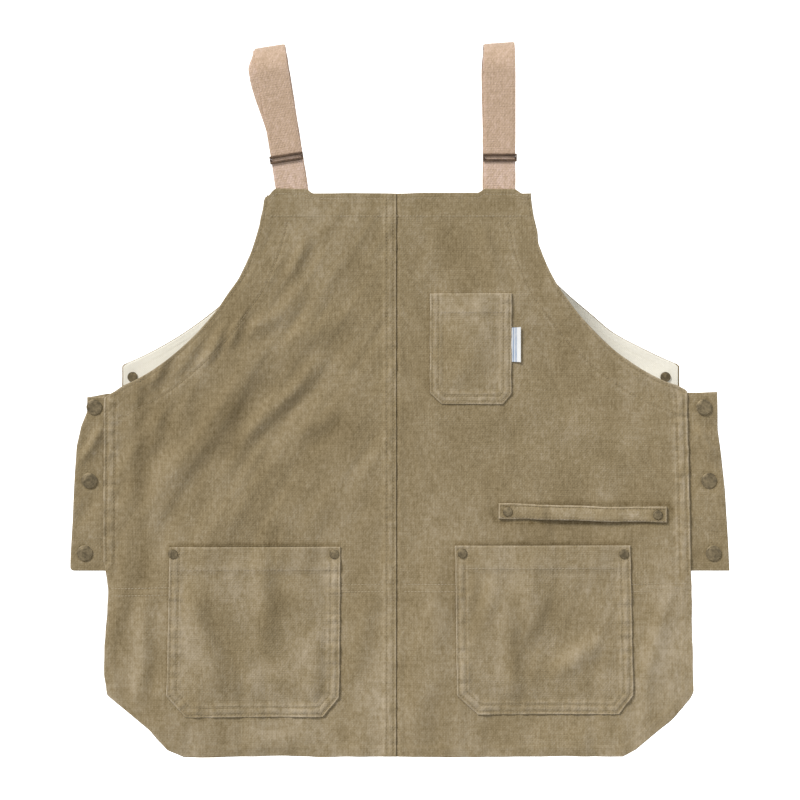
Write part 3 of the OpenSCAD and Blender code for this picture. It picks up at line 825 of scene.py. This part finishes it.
# ---------------------------------------------------------------- inside of the front
def front_lining():
    z1 = heights(LINING_FOOT, HEM_FOOT + 1, 3.2)
    left, right = (np.minimum(half_width(z1, EDGE[s]) - 1.5, 283.0) for s in NAME)
    x, z = grid(z1, -left, right, 3.4)
    front = STRAP_Y - drape(x, z) + 0.12
    ripple = 0.16 * noise(x, z, 12, 81) + 0.25 * noise(x, z, 40, 82)
    back = front + 0.55 + np.clip(ripple, 0, 1)
    o = shell("front_lining_cloth", x, z, front, back, LINING, slot="lining")
    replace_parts(o, "front_lining")


def bib_hem():
    x, z = np.meshgrid(spread(-130.5, 130.5, 2.0), heights(HEM_FOOT, BIB_Z - 0.8, 1.6))
    z = pull(x, z)
    # The straps' ends lie under it and lift it
    over = sum(step(19, 16.5, np.abs(x - sx)) for sx, _ in STRAPS.values())
    front = STRAP_Y - drape(x, z) + 0.1 + 1.38 * over
    edge = np.minimum(BIB_Z + pulled(x) - 0.8 - z, z - HEM_FOOT)
    back = rounded(np.clip(edge, 0, 9), 0.5, front + 1.0 + 0.12 * noise(x, z, 6, 83), 1)
    o = shell("bib_hem_inside", x, z, front, back, CANVAS, back_wear_and_shade=0.5 * bell(edge, 1.6), slot="canvas")
    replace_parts(o, "bib_hem_facing")


def armhole_facing(side):
    """A bias strip that follows the armhole inside, from 1 to 30 mm from its edge."""
    name, near, far = NAME[side], 1.0, 30.0
    line = ARM[side]
    line = line[line[:, 1] < HEM_FOOT - 1]
    run = arc_length(line)
    s = np.arange(0, run[-1], 2.6)
    cx, cz = np.interp(s, run, line[:, 0]), np.interp(s, run, line[:, 1])
    tx, tz = np.gradient(cx), np.gradient(cz)
    m = np.hypot(tx, tz)
    t = spread(near, far, 2.4)
    x = cx[:, None] + (tz / m)[:, None] * t
    z = np.minimum(cz[:, None] - (tx / m)[:, None] * t, HEM_FOOT - 1)
    keep = x[:, 0] < 282.5
    x, z = np.minimum(x[keep], 283) * side, z[keep]
    edge = np.minimum(t - near, far - t) + 0 * x
    front = STRAP_Y - drape(x, z) + 1.25
    back = rounded(edge, 0.35, front + 0.7 + 0.1 * noise(x, z, 8, 84), 1)
    if side > 0:
        x, z, front, back = flipped(x, z, front, back)
    o = shell("armhole_facing_%s_cloth" % name, x, z, front, back, LINING, slot="lining")
    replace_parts(o, "armhole_facing_" + name)


# ---------------------------------------------------------------- pockets
class Pocket:
    """A patch pocket stitched down on three sides, loose inside, with a turned hem at its mouth."""

    def __init__(self, name, hem, bulge, seed, folds, rivets=(), rows=(2.6, 9.7), firm=1.4):
        self.name, self.outline = name, np.array(OUTLINES[name], float)
        self.bulge, self.seed, self.folds, self.rivets = bulge, seed, folds, rivets
        self.rows, self.firm = rows, firm
        self.top, self.foot = self.outline[0, 1], self.outline[:, 1].min()
        self.hem_foot = self.top - hem
        self.hem_row = self.hem_foot + 1.2

    def sides(self, z):
        """Its left and right edges at height z."""
        left, right = self.outline[:3], self.outline[-1:2:-1]
        return np.interp(-z, -left[:, 1], left[:, 0]), np.interp(-z, -right[:, 1], right[:, 0])

    def relief(self, x, z):
        """How far it stands off the panel, its wear and painted shade, and the distance from its sewn edge.
        """
        edge, along = distance(x, z, self.outline)
        loose = step(9, 38, edge)
        mouth = step(self.top - 120, self.top, z)
        t = 1.9 - 0.6 * step(10.6, 13, edge) * step(self.hem_foot + 3, self.hem_foot - 4, z)
        t = t - 0.65 * step(self.foot + 14, self.foot + 5, z)
        t = t + self.bulge * loose * (0.45 + 0.55 * mouth) + 0.7 * loose * noise(x, z, 46, self.seed)
        t += 0.3 * step(6, 24, edge) * noise(x, z, 19, self.seed + 1)
        for fold in self.folds:
            t += crest(x, z, fold, 2 * noise(x, z, 30, self.seed + 2)) * step(8, 22, edge)
        # Paler worn edges, washed-out patches and painted fold light and shade
        wear_and_shade = 0.55 + 1.1 * bell(edge, 1.5) + washed_and_shaded(x, z)
        for r in self.rows:
            t += self.firm * seam(edge - r, along, self.seed + 3)
            # Paler wear beside each row, painted shade in its groove
            wear_and_shade += 0.8 * bell(np.abs(edge - r) - 2.4, 1.5) - 0.5 * bell(edge - r, 0.9)
        hem = z - self.hem_row
        t += 0.35 * seam(hem, x, self.seed + 5) * step(0, 6, edge)
        t += 0.3 * step(self.hem_foot - 4, self.hem_foot + 2, z)
        wear_and_shade += 0.4 * bell(hem - 2.2, 1.4) + 0.3 * bell(hem, 0.9) + 1.0 * bell(self.top - z, 1.6)
        for spot in self.rivets:
            near = nearest(x, z, [spot])
            t -= (t - 2.0) * bell(near, 9) + 0.35 * bell(near - 5.4, 1.6)
            # Painted shade: a dark ring round each rivet head
            wear_and_shade -= 0.8 * bell(near - 5.2, 1.2)
        return np.maximum(t, 0.7), wear_and_shade, edge

    def face(self, x, z):
        return PANEL_Y - drape(x, z) - self.relief(np.asarray(x, float), np.asarray(z, float))[0]

    def cloth(self):
        z1 = heights(self.foot, self.top, 1.9)
        x, z = grid(z1, *self.sides(z1), 1.9)
        t, wear_and_shade, edge = self.relief(x, z)
        x = x + 0.25 * noise(z, 0, 11, self.seed + 7) * bell(edge, 6)
        base = PANEL_Y - drape(x, z)
        rim = np.minimum(edge, self.top - z)
        front = rounded(rim, 0.8, base - t, -1)
        thick = 1.15 + 0.95 * step(self.hem_foot - 1, self.hem_foot + 1, z)
        back = np.minimum(front + thick, base - 0.06)
        back = np.where(edge < 11, np.maximum(back, base - 0.12 - 0.5 * bell(rim, 0.7)), back)
        back = np.maximum(back, front + 0.2)
        o = shell(self.name + "_cloth", x, z, front, back, CANVAS, wear_and_shade, slot="canvas")
        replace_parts(o, self.name)
        width, height = np.ptp(self.outline[:, 0]), self.top - self.foot

    def stitch(self, khaki, pale):
        for k, r in enumerate(self.rows):
            line = trim(inset_path(self.outline, r), 1.5)
            khaki.row(line, self.face, seed=self.seed + 8 + k, lift=0.14)
        left, right = self.sides(self.hem_foot)
        hem = points(np.linspace(left + 3, right - 3, 40), self.hem_row)
        pale.row(hem, self.face, seed=self.seed + 11, width=FINEST)


POCKETS = [
    Pocket("pocket_left", 24, 3.6, 101,
           [(-177, -636, -214, -540, 5.2, 12), (-130, -604, -137, -512, 4.4, 12),
            (-84, -664, -80, -585, 2.8, 11)],
           [(-225.7, -508.9), (-64.7, -509.3)]),
    Pocket("pocket_right", 24, 3.6, 131,
           [(66, -604, 70, -512, 2.4, 9), (112, -664, 109, -556, 3.8, 10), (136, -594, 128, -508, 3.6, 12),
            (157, -632, 200, -592, 3.8, 10)],
           [(63.4, -508.3), (224.9, -508.9)]),
    Pocket("pocket_chest", 20, 2.6, 161, [(52, -345, 84, -285, 0.6, 9)], rows=(2.4, 8.4), firm=0.6),
]


def pockets():
    khaki, pale = Threads(), Threads()
    for pocket in POCKETS:
        pocket.cloth()
        pocket.stitch(khaki, pale)
    khaki.done("stitching_pockets", THREAD)
    pale.done("stitching_pocket_hems", PALE_THREAD)


# ---------------------------------------------------------------- tool loop
LOOP_A, LOOP_B, LOOP_HALF = 99.6, 267.8, 7.9
LOOP_RIVETS = [(108.5, -466.4), (258.4, -469.6)]


def loop_centre(x):
    """Height of the loop's middle line."""
    t = (x - LOOP_A) / (LOOP_B - LOOP_A)
    return -466.0 - 3.4 * step(0, 0.75, t) + 0.35 * noise(x, 0, 30, 171)


def loop_rise(x):
    """How far the loop stands off the panel, most between its sewn ends."""
    free = step(LOOP_A + 15, LOOP_A + 62, x) * step(LOOP_B - 13, LOOP_B - 60, x)
    return 2.7 + 1.3 * free + 0.5 * step(LOOP_B - 26, LOOP_B, x)


def loop_face(x, z):
    return PANEL_Y - drape(x, loop_centre(x)) - loop_rise(x) - 0.25


def tool_loop():
    few = EDGE_STEPS[:5]
    x, v = np.meshgrid(spread(LOOP_A, LOOP_B, 1.5), spread(-LOOP_HALF, LOOP_HALF, 0.8, few, few)[::-1])
    ends = np.minimum(x - LOOP_A, LOOP_B - x)
    z = loop_centre(x) + v * (1 - 0.05 * step(12, 26, ends)) + 0.15 * noise(x, v * 3, 7, 172)
    edge = np.minimum(LOOP_HALF - np.abs(v), ends)
    mid = PANEL_Y - drape(x, loop_centre(x))
    bow = 0.5 * (1 - (v / 8) ** 2) * step(14, 30, ends) + 0.12 * noise(x, v, 6, 173)
    rivet = nearest(x, z, LOOP_RIVETS)
    face = mid - loop_rise(x) - bow + 0.3 * bell(rivet - 5.2, 1.8) + 0.25 * bell(edge - 2.0, 0.7)
    front = rounded(edge, 0.9, face, -1)
    thick = 1.9 + 0.75 * step(19, 17, ends)
    back = np.minimum(rounded(edge, 0.5, face + thick, 1), mid - 0.08)
    back = np.maximum(back, front + 0.3)
    wear_and_shade = 1.3 * bell(edge - 0.4, 1.2) + 1.1 * bell(x - 230, 9) * step(9, -2, v) + 0.5 * noise(x, v, 16, 176)
    # Painted shade round the rivet heads and in the grooves of the stitch rows
    wear_and_shade -= 0.8 * bell(rivet - 5.2, 1.3) + 0.7 * bell(edge - 2.0, 0.6)
    o = shell("tool_loop_band", x, z, front, back, LOOP_CLOTH, wear_and_shade, slot="canvas")
    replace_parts(o, "tool_loop")
    threads = Threads()
    x = np.linspace(LOOP_A + 2, LOOP_B - 2, 60)
    for s in NAME:
        threads.row(points(x, loop_centre(x) + s * 5.9), loop_face, seed=174 + s, width=FINE)
    threads.done("stitching_tool_loop", THREAD)


# ---------------------------------------------------------------- rivets and their washers
# Profiles as (radius, height)
HEAD = [(4.7, -0.5), (4.75, 0.35), (4.45, 0.85), (3.9, 1.12), (3.3, 1.2), (2.7, 1.42), (1.6, 1.62),
        (0.02, 1.68)]
WASHER = [(4.0, -0.3), (4.05, 0.4), (3.7, 0.7), (2.3, 0.75), (1.9, 0.45), (0.02, 0.4)]


def rivets(name, node, spots, face, lift, profile, material, outward=-1):
    """Turned parts at spots (x, z), at a distance lift behind the surface y = face(x, z)."""
    places = [(x, float(face(x, z)) + lift, z) for x, z in spots]
    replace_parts(lathe(name, places, profile, material, outward), node)


def all_rivets():
    for side, pocket in zip(NAME.values(), POCKETS):
        name, node = "pocket_rivet_heads_" + side, "pocket_rivets_" + side
        rivets(name, node, pocket.rivets, pocket.face, 0.1, HEAD, CAP_METAL)
    rivets("tool_loop_rivet_heads", "tool_loop_rivets", LOOP_RIVETS, loop_face, 0, HEAD, CAP_METAL)
    spots = [spot for pocket in POCKETS for spot in pocket.rivets] + LOOP_RIVETS
    rivets("rivet_washers_inside", "rivet_washers", spots, inside_face, 0.78, WASHER, DARK_METAL, 1)


# ---------------------------------------------------------------- label
def label():
    x, z = np.meshgrid(np.linspace(110.5, 121.8, 46), np.linspace(-282.6, -316.8, 26))
    out = (x - 112.4) / 9.4
    free = np.clip(out, 0, 1)
    mid = PANEL_Y - drape(x, z) - (0.9 + 1.5 * free ** 1.5 + 0.3 * noise(z, x, 16, 181) * free)
    z = z + 0.5 * out * np.sign(z + 299.7) * free
    edge = np.minimum(np.minimum(x.max() - x, z - z.min() + 0.2), z.max() - z + 0.2)
    front, back = (rounded(edge, 0.3, mid + outward * 0.4, outward) for outward in (-1, 1))
    stripes = sum(bell(x - a, 0.9) for a in (114.3, 116.9))
    o = shell("pocket_label_tape", x, z, front, back, LABEL, stripes, slot="label")
    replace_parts(o, "pocket_label")


# ---------------------------------------------------------------- side tabs
# The outer edge of each tab, from the top down; each tab's cloth runs from TAB_IN out to this edge
TAB_EDGE = {
    1: [(318.8, -347.5), (319.4, -385), (322.6, -410), (326.2, -445), (329.4, -495), (331, -526)],
    -1: [(312, -352), (312.3, -367), (318, -381), (322.6, -401), (324.6, -430), (326.6, -475), (329, -515),
         (329.2, -526)],
}


def side_tab(side):
    name, line = NAME[side], np.array(TAB_EDGE[side], float)
    top, foot = line[0, 1], line[-1, 1]
    z1 = heights(foot, top, 2.0)
    high = np.interp(-z1, -line[:, 1], line[:, 0])
    if side < 0:
        high = high - 4.0 * corner_round(z1 - foot, 4.0)
    x, z = grid(z1, TAB_IN, high, 1.9, EDGE_STEPS[:4])
    z = z + (0.66 * step(300, 318, x) if side > 0 else 3.5 * step(313, 288, x)) * step(-380, -352, z)
    edge, s = distance(x, z, line)
    rim = np.maximum(np.minimum(np.minimum(edge, top - z), z - foot), 0)
    free = step(291, 300, x) * held(x, z, [(sx, sz, 12) for sx, sz in SNAPS])
    fold = 3.6 * bell(x - 306 + 0.55 * (z + 398), 6) * step(-424, -402, z) * step(-374, -392, z)
    ripple = free * (0.9 * noise(x, z, 26, 191 + side) + 0.35 * noise(x, z, 10, 192 + side) + fold)
    snap = nearest(x, z, SNAPS)
    relief = ripple + 0.3 * seam(edge - 5.5, s, 195 + side) * free + 0.22 * step(8.5, 7.0, edge)
    relief -= 0.3 * bell(snap - 8.6, 1.5)
    y0 = STRAP_Y - drape(side * x, z)
    tucked = step(294, 291, x)
    front = rounded(rim, 0.7, y0 - relief * (1 - tucked) + 0.14 * tucked, -1)
    back = np.maximum(rounded(rim, 0.6, y0 + 2.0 - 0.5 * ripple, 1), front + 0.5)
    # Paler worn edges; painted shade round each snap and where the tab goes in under the panel
    wear_and_shade = 0.9 * bell(rim, 1.7) - 0.7 * bell(snap - 8.2, 1.4) - 0.6 * bell(x - 292, 1.6)
    x = x * side
    if side < 0:
        x, z, front, back, wear_and_shade = flipped(x, z, front, back, wear_and_shade)
    o = shell("side_tab_%s_cloth" % name, x, z, front, back, CANVAS, wear_and_shade, body=None, slot="canvas")
    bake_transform(o)
    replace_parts(o, "side_tab_" + name)


# ---------------------------------------------------------------- back panel
BACK_FOLDS = [
    (-200, -480, -120, -320, 2.2, 18), (140, -490, 190, -330, 2.0, 18), (-40, -490, -20, -300, 1.6, 20),
    (60, -480, 40, -260, 1.3, 20), (230, -480, 252, -400, 1.4, 12), (-240, -360, -180, -300, 1.3, 10),
]
BACK_HELD = [(s * x, z, 15) for s in NAME for x, z in STUDS]
RING_TABS_X = (-103.2, 101)     # the webbing of the rings holds the top hem here


def back_drape(x, z):
    """How far the back panel's cloth stands out behind."""
    x, z = np.broadcast_arrays(np.asarray(x, float), np.asarray(z, float))
    g = 2.0 * step(-200, -480, z) * np.cos(x / 46.0 + 0.8)
    for height, size, seed in ((1.6, 120, 201), (0.7, 45, 202), (0.25, 18, 203)):
        g += height * noise(x, z, size, seed)
    for fold in BACK_FOLDS:
        g += crest(x, z, fold, 3 * noise(x, z, 40, 204))
    for rx in RING_TABS_X:
        g = g * (1 - bell(np.hypot((x - rx) * 0.8, z + 200), 26))
    return g * held(x, z, BACK_HELD) * step(-190, -215, z)


def back_relief(x, z):
    """Relief of the back panel's outer face, its wear and painted shade, and the distance from its edge."""
    edge, s = from_line(x, z, BACK_EDGE)
    lap = np.where(x < 0, 1.0, 0.0)
    rows = [
        (z - BACK_TOP + BACK_TOP_ROWS[0], x, 1.0, 211), (z - BACK_TOP + BACK_TOP_ROWS[1], x, 1.0, 212),
        (edge - BACK_ROWS[0], s, 0.8, 213), (edge - BACK_ROWS[1], s, 0.7 * step(-212, -216, z), 214),
        (x + BACK_SEAM_ROWS[0], z, lap, 215), (x + BACK_SEAM_ROWS[1], z, 0.8 * lap, 216),
    ]
    e, wear_and_shade = sewn(rows, 0.6, 0.9)
    e += 0.5 * step(BACK_TOP - 21.5, BACK_TOP - 20.5, z) + 0.4 * step(12.5, 11, edge)
    e += np.where(x < 0, 0.9 * step(-12.6, -11, x), -0.5 * bell(x, 1.3) + 0.35 * bell(x - 4, 2.4))
    stud = nearest(np.abs(x), z, STUDS)
    e -= e * bell(stud, 7)
    # Paler worn edges; painted shade round each stud
    wear_and_shade += 0.9 * bell(edge, 1.8) - 0.6 * bell(stud - 5.4, 1.3)
    return e, wear_and_shade, edge


def back_face(x, z):
    return BACK_OUT + back_drape(x, z) + back_relief(np.asarray(x, float), np.asarray(z, float))[0]


def back_inner(x, z):
    """The back panel's inner face, which its lining and hem lie on."""
    return BACK_OUT - CANVAS_T + back_drape(x, z) - 0.05


def back_half(side):
    # Here and in the next two, shell() gets the inner face first: it is the one that looks along -Y
    name, z1 = NAME[side], heights(BACK_FOOT, BACK_TOP, 2.4)
    w = half_width(z1, BACK_EDGE[side]) + 0.4 * noise(z1, side * 30, 22, 221)
    x, z = half_grid(z1, w, 0.0, 2.4, side)
    z = z + 0.8 * noise(x, 0, 60, 222) * step(-460, -497, z)
    e, wear_and_shade, edge = back_relief(x, z)
    g = back_drape(x, z)
    rim = np.minimum(edge, BACK_TOP - z)
    outer = rounded(rim, 0.7, BACK_OUT + g + e, 1)
    inner = np.minimum(rounded(rim, 0.4, BACK_OUT - CANVAS_T + g, -1), outer - 0.3)
    o = shell("back_panel_%s_cloth" % name, x, z, inner, outer, CANVAS, 0.3 * bell(edge, 2), wear_and_shade,
              body="back", slot="canvas")
    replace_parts(o, "back_panel_" + name)


def back_lining():
    z1 = heights(BACK_FOOT + 1.5, BACK_TOP - 21, 3.2)
    left, right = (half_width(z1, BACK_EDGE[s]) - 1.4 for s in NAME)
    x, z = grid(z1, -left, right, 3.4)
    edge, s = from_line(x, z, BACK_EDGE)
    outer = back_inner(x, z)
    puff = 0.3 * noise(x, z, 30, 231) + 0.35 + 0.3 * seam(edge - 8.5, s, 232)
    puff = puff * (1 - bell(nearest(np.abs(x), z, STUDS), 9))
    inner = rounded(np.clip(edge - 1.4, 0, 9), 0.4, outer - 0.5 - np.clip(puff, 0, 1), -1)
    # A paler strip, and painted shade in the groove of the stitch row
    wear_and_shade = 0.5 * bell(edge - 6, 1.2) - 0.8 * bell(edge - 8.5, 0.8)
    o = shell("back_lining_cloth", x, z, inner, outer, LINING, wear_and_shade, body="back", slot="lining")
    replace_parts(o, "back_lining")


def back_hem():
    foot, top = BACK_TOP - BACK_HEM, BACK_TOP - 0.8
    x, z = np.meshgrid(spread(-124.5, 124.5, 2.2), heights(foot, top, 1.6))
    outer = back_inner(x, z)
    edge = np.minimum(top - z, z - foot)
    inner = rounded(edge, 0.3, outer - 0.75, -1)
    wear_and_shade = 0.5 * bell(edge, 1.6)
    o = shell("back_hem_inside", x, z, inner, outer, CANVAS, wear_and_shade, body="back", slot="canvas")
    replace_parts(o, "back_hem_facing")


def stitch_back():
    threads = Threads()

    def row(line, seed):
        threads.row(line, back_face, seed=seed, outward=1.0)

    for side in NAME:
        half = BACK_HALF[side]
        first, second = (offset_line(BACK_ARM[side], d) for d in BACK_ROWS)
        second = second[(second[:, 1] < -213) & (second[:, 0] < half - 11)]
        row(mirrored(first, side), 241)
        row(mirrored(second, side), 242)
        for d in BACK_ROWS:
            row(points(side * (half - d), np.linspace(-326, BACK_FOOT + d, 60)), 243)
            row(points(side * np.linspace(0, half - d, 90), BACK_FOOT + d), 244)
        for d, reach, seed in zip(BACK_TOP_ROWS, (123, 128), (245, 246)):
            row(points(side * np.linspace(1, reach, 60), BACK_TOP - d), seed)
    for d in BACK_SEAM_ROWS:
        row(points(-d, np.linspace(-198, -492, 120)), 247)
    threads.done("stitching_back", THREAD, body="back")


# ---------------------------------------------------------------- shoulder straps
# The slider's rear bar: a gap, the bar's radius, its clearance and a fold behind the strap's middle
BAR_Y = -RING_Y + 0.3 + 1.25 + 0.05 + 1.0
SLIDER_RUN = 56.5                              # how far along the outer layer the slider presses on it
OUTER_R, OUTER_HALF = 29.95, 15.6              # radius of each layer's arch, and its half width
INNER_R, INNER_HALF = 28.62, 15.3
RING_HALF = 14.1                               # half width of the ring's webbing
STRAP_BACK_Y = 30.62                           # the strap's outer face above the ring
FAN = {"left": -8.8, "right": -1.4}            # how far the inner layer slips sideways over the shoulder


def sideways(lean):
    """How far a strap leans sideways for each millimetre of height."""
    return math.tan(math.radians(lean))


def on_strap(side, fan=0.0):
    """Moves points from a strap's own upright frame to its place; the lean fades out at the ring."""
    sx, lean = STRAPS[side]
    s, c = math.sin(math.radians(lean)), math.cos(math.radians(lean))
    peak, tilt = (0, 0) if lean else (3.6, 0.07)

    def place(p):
        x, y, z = p[..., 0], p[..., 1], p[..., 2]
        x = x + fan * step(-95, -25, z) * (1 - 0.8 * step(-20, 0, z))
        z = z + (peak + tilt * x) * step(-70, 0, z)
        up = (z - BIB_Z) * c
        k = np.where(y > 0, step(-176, -146, z), 1.0)
        return np.stack([sx + x * (c * k + 1 - k) - up / c * s, y, BIB_Z + up + x * s * k], -1)

    return place


def arch(r, front_z, back_z, lean):
    """Side view of one layer: up the front, over the crown and down the back, as (y, z)."""
    centre = -CROWN_R - BIB_Z / math.cos(math.radians(lean)) + BIB_Z
    up = [(-r, z) for z in np.arange(front_z, centre - 2, 4.0)]
    down = [(r, z) for z in np.arange(centre - 4, back_z, -4.0)]
    return up + wrap(0, centre, r, 180, 0, 60) + down


def wrap(cy, cz, r, a0, a1, n):
    """An arc round (cy, cz) between two angles in degrees, as (y, z)."""
    return [(cy + r * math.cos(a), cz + r * math.sin(a)) for a in np.radians(np.linspace(a0, a1, n))]


def outer_layer(side, lean, seed):
    """From inside the bib hem, over the crown, to round the ring's upper bar."""
    path = arch(OUTER_R, -169, -166, lean) + [(30.6, -168.6)] + wrap(RING_Y, RING_Z, 2.25, 38, -218, 30)
    path += [(28.3, -168.2), (28.25, -165.5)]

    def press(s, t):
        """The slider's bars dent it, and it waves a little further on."""
        dents = 0.22 * bell(s - SLIDER_RUN + 2.7, 1.6) + 0.22 * bell(s - SLIDER_RUN - 2.7, 1.6)
        waves = 0.18 * noise(s, t * 16, 30, seed) * step(112, 150, s)
        return (waves - dents) * step(20, 30, s) * step(385, 360, s)

    def tone(s):
        return 0.9 - 1.3 * step(55, 62, s) + 0.8 * step(150, 230, s)

    o = band("strap_%s_webbing" % side, path, OUTER_HALF, 1.25, on_strap(side), press, tone=tone)
    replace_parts(o, "strap_" + side)


def inner_layer(side, lean):
    """From the ring up over the crown to the front."""
    path = arch(INNER_R, -30, -163.5, lean)
    o = band("strap_%s_return_webbing" % side, path, INNER_HALF, 1.2, on_strap(side, FAN[side]), pitch=1.6)
    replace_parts(o, "strap_return_" + side)


def slider_webbing(side):
    """The inner layer's last stretch, which is sewn round the slider's rear bar."""
    path = [(-27.35, -90), (-27.3, -101), (-26.0, -106.5)] + wrap(BAR_Y, SLIDER_Z, 1.85, 62, -180, 26)
    path += [(-28.55, -108), (-28.6, -90), (-INNER_R, -60), (-INNER_R, -29.6)]
    o = band("slider_%s_webbing" % side, path, INNER_HALF, 1.0, on_strap(side, FAN[side]), body=None)
    sx, lean = STRAPS[side]

    def at(z):
        """A place on the inner layer in metres; it lies 0.0286 m in front of the shoulder line."""
        return ((sx - (z - BIB_Z) * sideways(lean)) / 1000, -0.0286, z / 1000)

    at(-90.5)
    at(-30.0)
    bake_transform(o)
    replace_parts(o, "slider_webbing_" + side)


def tab_y(z):
    """How far back the middle of the ring's webbing lies on the back panel's top hem."""
    return BACK_OUT + 0.5 * step(BACK_TOP + 0.5, BACK_TOP - 1.5, z) + 0.75


def ring_webbing(side, rx):
    """The webbing tab that joins the ring to the back panel."""
    path = [(tab_y(-212) - 0.05, -212.5), (tab_y(-205), -205), (tab_y(-198), -198)]
    path += [(tab_y(-190.5) + 0.1, -190.5)] + wrap(RING_Y, RING_Z - RING_PITCH, 2.15, 8, 172, 24)
    path += [(28.0, -190.5), (27.75, -198), (27.75, -205), (27.8, -212.5)]

    def place(p):
        return p + [rx, 0, 0]

    o = band("ring_webbing_%s_band" % side, path, RING_HALF, 0.95, place, body="back")
    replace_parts(o, "ring_webbing_" + side)


def stitch_strap(side, lean, rx, seed):
    """Box stitching that holds the ring's tab, and the rows that close the strap above the ring."""
    (left, right), (foot, top) = (rx - 11.5, rx + 11.5), (-209.5, -196)
    box = [(left, foot), (right, foot), (right, top), (left, top), (left, foot)]
    crosses = [(left, foot), (right, top)], [(left, top), (right, foot)]

    def on_tab(x, z):
        return tab_y(z) + 0.5

    def on_end(x, z):
        return STRAP_BACK_Y + 0 * x

    threads = Threads()
    for k, line in enumerate((box, *crosses)):
        threads.row(line, on_tab, seed=seed + k, outward=1.0, width=FINE)
    threads.done("stitching_ring_tab_" + side, PALE_THREAD, body="back")
    threads = Threads()
    for z in (-158.5, -155.0):
        ends = rx + np.array([-14, 14]) - (z - RING_Z) * sideways(lean)
        threads.row(points(ends, z), on_end, seed=seed + 3, outward=1.0, width=FINE)
    threads.done("stitching_strap_end_" + side, PALE_THREAD)


def strap(side, seed):
    sx, lean = STRAPS[side]
    rx = sx + (BIB_Z - RING_Z) * sideways(lean)
    outer_layer(side, lean, seed)
    inner_layer(side, lean)
    slider_webbing(side)
    ring_webbing(side, rx)
    stitch_strap(side, lean, rx, seed)


# ---------------------------------------------------------------- studio
def cove_profile():
    """Floor, curve, wall and dome of the studio, as (distance, height) in metres."""
    floor_z, wall, r, dome_z = -2.4, 6.0, 1.5, 5.0
    flat = [(0.0003, floor_z)] + [(d, floor_z) for d in np.linspace(0.5, wall - r, 9)]
    turns = np.linspace(0.1, math.pi / 2, 16)
    curve = [(wall - r + r * math.sin(a), floor_z + r - r * math.cos(a)) for a in turns]
    upright = [(wall, z) for z in np.linspace(floor_z + r + 0.4, dome_z, 6)]
    turns = np.linspace(0.1, math.pi / 2 - 0.003, 12)
    return flat + curve + upright + [(wall * math.cos(a), dome_z + wall * 0.5 * math.sin(a)) for a in turns]


def stage():
    """A pale floor that runs up into a round white wall, all round the object."""
    m, nt, bsdf = tree("studio_white")
    coords = add(nt, "ShaderNodeTexCoord").outputs["Object"]
    soft = maths(nt, "ADD", grain(nt, coords, (1.3, 1.3, 1.3), 3.0), 0.5)
    shade = ramp(nt, soft, (0.0, (0.86, 0.86, 0.855)), (1.0, (0.90, 0.90, 0.895)))
    nt.links.new(shade, bsdf.inputs["Base Color"])
    bsdf.inputs["Roughness"].default_value = 0.95
    bsdf.inputs["Emission Color"].default_value = (1, 1, 1, 1)
    bsdf.inputs["Emission Strength"].default_value = 0.9
    d, z = 1000 * np.array(cove_profile()).T[:, :, None]
    t = np.linspace(0, 2 * math.pi, 72, endpoint=False)
    verts = np.stack([d * np.cos(t), d * np.sin(t), z + 0 * t], -1)
    i = np.arange(verts[..., 0].size).reshape(verts.shape[:2])
    j = np.roll(i, -1, 1)
    faces = np.stack([i[:-1], j[:-1], j[1:], i[1:]], -1).reshape(-1, 4)
    cove = build("studio_cove", verts.reshape(-1, 3), faces, m, body=None)
    # It is there to be seen; the lamps light the apron
    cove.visible_diffuse = cove.visible_shadow = False


def world_light():
    world = bpy.data.worlds.new("studio_world")
    bpy.context.scene.world = world
    world.use_nodes = True
    colour, strength = world.node_tree.nodes["Background"].inputs[:2]
    colour.default_value, strength.default_value = (1.0, 0.98, 0.945, 1), 0.42


def lamp(kind, name, place, aim, power, colour=(1, 1, 1), **props):
    light = bpy.data.lights.new(name, kind)
    light.energy, light.color = power, colour
    for k, v in props.items():
        setattr(light, k, v)
    o = bpy.data.objects.new(name, light)
    bpy.context.collection.objects.link(o)
    o.location = place
    o.rotation_euler = (Vector(aim) - Vector(place)).to_track_quat("-Z", "Y").to_euler()


def camera():
    """A long lens straight in front, at the height of the apron's middle."""
    scene = bpy.context.scene
    cam = bpy.data.cameras.new("camera")
    cam.lens, cam.sensor_width, cam.clip_end = 120.0, 36.0, 30.0
    o = bpy.data.objects.new("camera", cam)
    bpy.context.collection.objects.link(o)
    cloth_y, away = -0.032, 2.6667
    o.location = (0.001, cloth_y - away, -0.355)
    o.rotation_euler = (math.pi / 2, 0, 0)
    scene.camera = o
    scene.view_settings.view_transform = "Standard"
    scene.view_settings.look = "None"


# ---------------------------------------------------------------- the whole apron
for side in NAME:
    front_half(side)
stitch_front()
front_lining()
bib_hem()
for side in NAME:
    armhole_facing(side)
pockets()
tool_loop()
all_rivets()
label()
for side in NAME:
    side_tab(side)
for side in NAME:
    back_half(side)
back_lining()
back_hem()
stitch_back()
strap("left", 250)
strap("right", 260)
stage()
world_light()
lamp("SUN", "key", (-1.0, -1.0, 0.85), (0, 0, -0.35), 2.9, (1.0, 0.975, 0.94), angle=0.3)
lamp("AREA", "fill", (2.0, -2.8, 0.1), (0, 0, -0.4), 14, (0.98, 0.99, 1.0), size=1.8)
lamp("AREA", "rear", (1.2, 2.2, 1.2), (0, 0.1, -0.4), 34, size=1.4)
camera()
